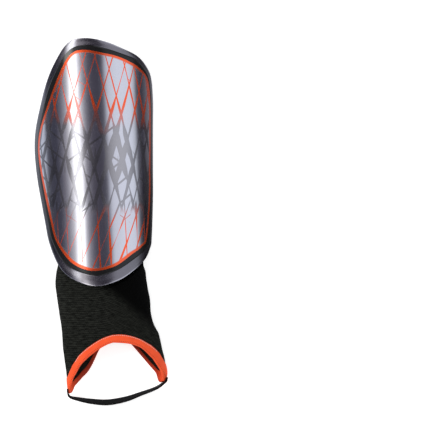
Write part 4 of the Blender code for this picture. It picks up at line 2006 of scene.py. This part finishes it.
    def _knit(self, finish: RibbedKnit) -> bpy.types.Object:
        """The knitted tube, from under the liner into the binding's fold.

        Args:
            finish: Its knit.

        Returns:
            The piece.
        """
        table = []
        cloth = []
        for i in range(self.around):
            turn = math.tau * i / self.around
            top = self.top(turn)
            end = self.hem(turn, "up") + self.tuck / self.length
            share = self.across(turn)
            bent = max(0.0, share - self.bend_start) ** 2 if math.sin(turn) >= 0 else 0.0
            bend = self.rib_bend * bent
            column = []
            marks = []
            for k in range(self.rows + 1):
                drop = between(top, end, k / self.rows)
                point = self.point(turn, drop)
                out = self.soft_folds(turn, drop)
                if abs(out) > TINY:
                    point += self.outward(turn, drop) * out
                column.append(point)
                marks.append((point.x, drop * self.length - bend))
            table.append(column)
            cloth.append(marks)
        place = reader(list(zip(*table)))
        measure = reader(list(zip(*cloth)))
        piece = Bench.grid("sleeve_knit", self.around, self.rows, place, measure, outward=Vector())
        self._face_out(piece)
        Bench.modify(piece, "SOLIDIFY", thickness=self.wall, offset=-1.0, use_even_offset=False)
        Bench.smooth(piece, angle=50.0)
        dress(piece, self.arch.origin, finish.material(), "knit", "ankle_sleeve")
        return piece

    def _face_out(self, piece: bpy.types.Object) -> None:
        """Turn an open tube's faces outward, away from its middle line.

        Args:
            piece: The tube.
        """
        places = [vertex.co for vertex in piece.data.vertices]
        middle = sum(places, Vector()) / len(places)
        out = 0.0
        for face in piece.data.polygons:
            away = face.center - middle
            away.y = 0.0
            out += face.normal.dot(away) * face.area
        if out < 0:
            Bench.edit(piece, lambda: bpy.ops.mesh.flip_normals())

    # Round the binding's section: a share down its width, and millimetres out of the knit's middle.
    BINDING_PROFILE = (
        (0.00, 0.74),
        (0.02, 0.98),
        (0.09, 1.20),
        (0.28, 1.32),
        (0.52, 1.38),
        (0.74, 1.30),
        (0.90, 1.05),
        (0.975, 0.62),
        (1.00, 0.00),
        (0.975, -0.62),
        (0.90, -1.05),
        (0.74, -1.28),
        (0.40, -1.30),
        (0.09, -1.20),
        (0.00, -0.74),
        (0.26, -0.72),
        (0.26, 0.72),
    )

    def binding_point(self, turn: float, down: float, out: float) -> tuple[Vector, Vector]:
        """A point on the binding.

        Args:
            turn: The place round the tube.
            down: The share of the way from its upper to its lower edge.
            out: How far it lies outside the knit's middle, in metres.

        Returns:
            The point, and the direction out of the knit there.
        """
        drop = between(self.hem(turn, "up"), self.hem(turn, "low"), down)
        normal = self._smooth_out(turn, drop)
        return self.point(turn, drop) + normal * (out - self.wall / 2), normal

    def _smooth_out(self, turn: float, drop: float) -> Vector:
        """The direction out of the knit, evened out over a short way round.

        Args:
            turn: The place round the tube.
            drop: The drop.

        Returns:
            The direction.
        """
        step = math.tau / self.around
        total = Vector()
        for k in (-2, -1, 0, 1, 2):
            total += self.outward(turn + k * step, drop)
        return total.normalized()

    def _binding(self, finish: BindingTape) -> tuple[bpy.types.Object, float]:
        """The folded tape round the lower opening, and its length.

        Args:
            finish: The tape.

        Returns:
            The piece, and its length round the opening.
        """
        table = []
        run = [0.0]
        crown = 4
        for i in range(self.around):
            turn = math.tau * i / self.around
            ring = [
                self.binding_point(turn, down, out / MILLIMETRES)[0] for down, out in self.BINDING_PROFILE
            ]
            if table:
                run.append(run[-1] + (ring[crown] - table[-1][crown]).length)
            table.append(ring)
        run.append(run[-1] + (table[0][crown] - table[-1][crown]).length)
        rows = list(zip(*table))
        rows.append(rows[0])
        piece = Bench.grid(
            "hem_tape",
            self.around,
            len(rows) - 1,
            reader(rows),
            lambda u, v: (run[round(u * self.around)], v * self.tape_round),
        )
        Bench.modify(piece, "SUBSURF", levels=1, render_levels=1)
        Bench.smooth(piece, angle=70.0)
        dress(piece, self.arch.origin, finish.material(), "binding", "hem_binding")
        return piece, run[-1]

    def _hem_path(self, run: SeamRun) -> list[tuple[Vector, Vector]]:
        """The line of one run of stitches, along the binding's outside."""
        turns = [between(run.start, run.end, k / self.seam_steps) for k in range(self.seam_steps + 1)]
        return [self.binding_point(turn * math.pi, run.down, run.out) for turn in turns]

    def stirrup_line(self, steps: int) -> list[tuple[Vector, Vector, Vector]]:
        """The stirrup's middle line.

        Args:
            steps: How many steps it has.

        Returns:
            For each step its middle, the direction across its width and the direction out of its face.
        """
        aside = self.stirrup_thickness / 2 + self.stirrup_clear
        height = self.fold_height + self.bulge
        half = self.arch.width / 2
        route = []
        for drop in STIRRUP_LEFT_STATIONS:
            route.append((self.fold(drop, "left") - aside, drop, height, 0.0))
        for row in STIRRUP:
            route.append((row.across * half, row.drop, row.height * self.stirrup_height, row.lean))
        for drop in STIRRUP_RIGHT_STATIONS:
            beside = self.fold(drop, "right") + aside + self.right_clear
            route.append((beside, drop, height, self.right_lean))
        route = [(x, -self.arch.length / 2 - drop * self.length, z, lean) for x, drop, z, lean in route]
        last = len(route) - 1
        line = []
        for k in range(steps + 1):
            place = min(last * k / steps, last - TINY)
            i = int(place)
            four = [route[max(i - 1, 0)], route[i], route[i + 1], route[min(i + 2, last)]]
            line.append([hermite(*column, place - i) for column in zip(*four)])
        found = []
        for k, (x, y, z, lean) in enumerate(line):
            before = line[max(k - 1, 0)]
            after = line[min(k + 1, steps)]
            along = Vector((after[0] - before[0], after[1] - before[1], 0.0)).normalized()
            outward = Vector((along.y, -along.x, 0.0))
            tilt = math.radians(lean)
            up = UP * math.cos(tilt) + outward * math.sin(tilt)
            out = outward * math.cos(tilt) - UP * math.sin(tilt)
            found.append((Vector((x, y, z)), up, out))
        return found

    def _stirrup(self, finish: RibbedElastic) -> tuple[bpy.types.Object, float]:
        """The elastic band under the foot, standing on its edge, and its length.

        Args:
            finish: The elastic.

        Returns:
            The piece, and its length along its line.
        """
        line = self.stirrup_line(self.stirrup_steps)
        wide = self.stirrup_width / 2
        thin = self.stirrup_thickness / 2
        soft = thin * self.stirrup_round
        quarter = (0.0, 0.35, 0.75, 1.0)
        section = []
        for sign_up, sign_out in ((1, 1), (-1, 1), (-1, -1), (1, -1)):
            for share in quarter if sign_up * sign_out > 0 else reversed(quarter):
                corner = share * math.pi / 2
                up = wide - soft * (1 - math.cos(corner))
                out = thin - soft * (1 - math.sin(corner))
                section.append((sign_up * up, sign_out * out))
        table = []
        run = [0.0]
        for k, (middle, up, out) in enumerate(line):
            table.append([middle + up * a + out * b for a, b in section])
            if k:
                run.append(run[-1] + (middle - line[k - 1][0]).length)
        count = len(section)
        table = [[line[0][0]] * count, *table, [line[-1][0]] * count]
        run = [run[0], *run, run[-1]]
        rows = len(table) - 1
        piece = Bench.grid(
            "stirrup_band",
            count,
            rows,
            reader(table),
            lambda u, v: (run[round(v * rows)], section[round(u * count) % count][0]),
        )
        Bench.smooth(piece, angle=60.0)
        dress(piece, self.arch.origin, finish.material(), "elastic", "stirrup")
        return piece, run[-1]

    def build(self, knit: RibbedKnit, tape: BindingTape, elastic: RibbedElastic) -> None:
        """Make the sleeve's pieces and dress them.

        Args:
            knit: The tube's finish.
            tape: The binding's finish.
            elastic: The stirrup's finish.
        """
        sleeve = self._knit(knit)
        binding, around = self._binding(tape)
        upper = StitchLine("hem_stitches_upper", 0.00125, 0.00185, thickness=0.00050, tilt=14.0)
        lower = StitchLine("hem_stitches_lower", 0.00110, 0.00175, thickness=0.00042, tilt=80.0)
        for line, runs, thread in (
            (upper, UPPER_SEAM, ThreadColour.WHITE),
            (lower, LOWER_SEAM, ThreadColour.RUST),
        ):
            paths = [self._hem_path(run) for run in runs]
            line.build(paths, self.arch.origin, thread.value.material(), "binding")
        stirrup, length = self._stirrup(elastic)
        wide = (self.fold(self.width_station, "right") - self.fold(self.width_station, "left")) * 2
        tall = self.length + self.panel_rise
        area = wide * tall * self.cloth_share


# Degrees to the right of straight up, and the light that the glossy faces find there.
REFLECTED_STRIPS = (
    (-150, (0.150, 0.160, 0.180)),
    (-126, (0.270, 0.290, 0.335)),
    (-104, (0.280, 0.300, 0.345)),
    (-96, (0.036, 0.036, 0.047)),
    (-72, (0.025, 0.025, 0.036)),
    (-60, (0.084, 0.082, 0.100)),
    (-52, (0.180, 0.175, 0.196)),
    (-46, (0.275, 0.270, 0.285)),
    (-40, (0.720, 0.720, 0.730)),
    (-36, (1.000, 1.000, 1.000)),
    (-29, (1.000, 1.000, 1.000)),
    (-25, (0.620, 0.620, 0.630)),
    (-21, (0.300, 0.295, 0.315)),
    (-16, (0.172, 0.168, 0.188)),
    (-11, (0.100, 0.097, 0.113)),
    (-6, (0.060, 0.057, 0.071)),
    (0, (0.038, 0.035, 0.046)),
    (9, (0.030, 0.028, 0.038)),
    (19, (0.034, 0.033, 0.043)),
    (23, (0.048, 0.047, 0.060)),
    (27, (0.235, 0.240, 0.272)),
    (31, (0.335, 0.346, 0.386)),
    (40, (0.355, 0.368, 0.408)),
    (50, (0.385, 0.400, 0.445)),
    (76, (0.370, 0.390, 0.435)),
    (84, (0.270, 0.285, 0.315)),
    (90, (0.050, 0.049, 0.060)),
    (104, (0.022, 0.021, 0.028)),
    (120, (0.075, 0.072, 0.084)),
    (140, (0.135, 0.130, 0.148)),
    (165, (0.165, 0.170, 0.190)),
)


@dataclass
class Studio:
    """A pale floor, soft lights, strip reflections for glossy faces, and the camera straight above."""

    arch: Arch
    floor_size: float = 40.0
    dome: float = 1.5
    picture_middle: tuple[float, float] = (0.1128, 0.0001)
    camera_height: float = 1.0
    floor_glow: float = 0.55
    room_glow: float = 0.52
    strip_glow: float = 2.40

    def floor(self) -> None:
        """The surface that the guard lies on."""
        bpy.ops.object.select_all(action="DESELECT")
        bpy.ops.mesh.primitive_plane_add(size=self.floor_size, location=(0, 0, 0))
        floor = bpy.context.active_object
        floor.name = "floor"
        sheet = NodeSheet("pale_floor")
        sheet.surface((0.90, 0.90, 0.90), roughness=0.9, gleam=0.1)
        sheet.finish("Emission Color", (1.0, 1.0, 1.0))
        sheet.finish("Emission Strength", self.floor_glow)
        floor.data.materials.append(sheet.material)
        floor.visible_glossy = False

    def strips(self) -> None:
        """A dome seen in glossy faces alone, with bright and dark strips that run along the guard."""
        bpy.ops.object.select_all(action="DESELECT")
        bpy.ops.mesh.primitive_uv_sphere_add(segments=64, ring_count=32, radius=self.dome)
        dome = bpy.context.active_object
        dome.name = "reflection_dome"
        sheet = NodeSheet("reflection_strips")
        across, along = sheet.parts(sheet.place())
        height = sheet.parts(sheet.place(), 2)[0]
        drift = (along - 0.06).least(0.14).most(-0.14) * 1.6
        lean = across.do("ARCTAN2", height)
        left = (-lean).rise(0.12, 0.42)
        belly = (1 - (along * along) / 0.0055).most(0.0) * left
        angle = lean + drift - belly * 0.070 - left * 0.016
        spot = angle / math.tau + 0.5
        stops = [(degrees / 360 + 0.5, light) for degrees, light in REFLECTED_STRIPS]
        strips = sheet.add("ShaderNodeValToRGB", {"stops": stops}, [spot])
        corner = angle.rise(1.55, 1.85) * (along - 0.070).rise(0.0, -0.045) * 0.80
        colour = sheet.mix(corner, strips, (0.0, 0.0, 0.0))
        glow = sheet.add("ShaderNodeEmission", None, {"Color": colour, "Strength": self.strip_glow})
        sheet.links.new(glow.socket, sheet.nodes["Material Output"].inputs["Surface"])
        sheet.material.cycles.emission_sampling = "NONE"
        dome.data.materials.append(sheet.material)
        for ray in ("camera", "diffuse", "transmission", "volume_scatter", "shadow"):
            setattr(dome, "visible_" + ray, False)

    def lamp(self, name: str, place: Vector, size: float, power: float, colour: Colour) -> None:
        """A square soft light that looks at the guard.

        Args:
            name: Its name.
            place: Where it stands.
            size: Its side.
            power: Its power in watts.
            colour: Its colour.
        """
        light = bpy.data.lights.new(name, "AREA")
        light.shape = "SQUARE"
        light.size = size
        light.energy = power
        light.color = colour
        lamp = bpy.data.objects.new(name, light)
        lamp.location = place
        lamp.rotation_euler = (-place).to_track_quat("-Z", "Y").to_euler()
        lamp.visible_glossy = False
        bpy.context.scene.collection.objects.link(lamp)

    def lights(self) -> None:
        """The room's even light, a key from the upper left and a low fill from the right."""
        world = bpy.data.worlds.new("room")
        world.use_nodes = True
        back = world.node_tree.nodes["Background"]
        back.inputs["Color"].default_value = (1.0, 1.0, 1.0, 1.0)
        back.inputs["Strength"].default_value = self.room_glow
        bpy.context.scene.world = world
        key = Vector((-1.5, 0.45, 1.15))
        fill = Vector((0.9, -0.8, 1.5))
        self.lamp("key", key, size=1.0, power=28.0, colour=(1.0, 0.99, 0.98))
        self.lamp("fill", fill, size=1.2, power=9.0, colour=(0.98, 0.99, 1.0))

    def camera(self) -> None:
        """The camera: straight above, with the photograph's frame."""
        camera = bpy.data.cameras.new("camera")
        camera.type = "ORTHO"
        camera.ortho_scale = PHOTO_PIXELS * METRES_A_PIXEL
        holder = bpy.data.objects.new("camera", camera)
        holder.location = (*self.picture_middle, self.camera_height)
        bpy.context.scene.collection.objects.link(holder)
        bpy.context.scene.camera = holder
        bpy.context.scene.view_settings.view_transform = "Standard"

    def build(self) -> None:
        """Set the whole studio up."""
        self.floor()
        self.strips()
        self.lights()
        self.camera()


def main() -> None:
    """Build the guard and the studio."""
    logging.basicConfig(level=logging.INFO, format="%(name)s: %(message)s")
    arch = Arch()
    arch.settle(*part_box("shell"))
    LOG.info("origin %s", tuple(round(part, 5) for part in arch.origin))
    ceiling = Ceiling(arch)
    band = RibbedElastic(
        "stirrup_elastic",
        rib=0.00165,
        valley=(0.0010, 0.0010, 0.0009),
        crest=(0.0048, 0.0048, 0.0043),
        gleam=0.18,
    )
    Studio(arch).build()
    Plate(arch).build(PrintedFilm())
    FoamLiner(arch).build(MouldedFoam())
    BackStrap(arch, ceiling).build(RibbedElastic(), PatchCloth())
    AnkleSleeve(arch, ceiling).build(RibbedKnit(), BindingTape(), band)


if __name__ == "__main__":
    main()
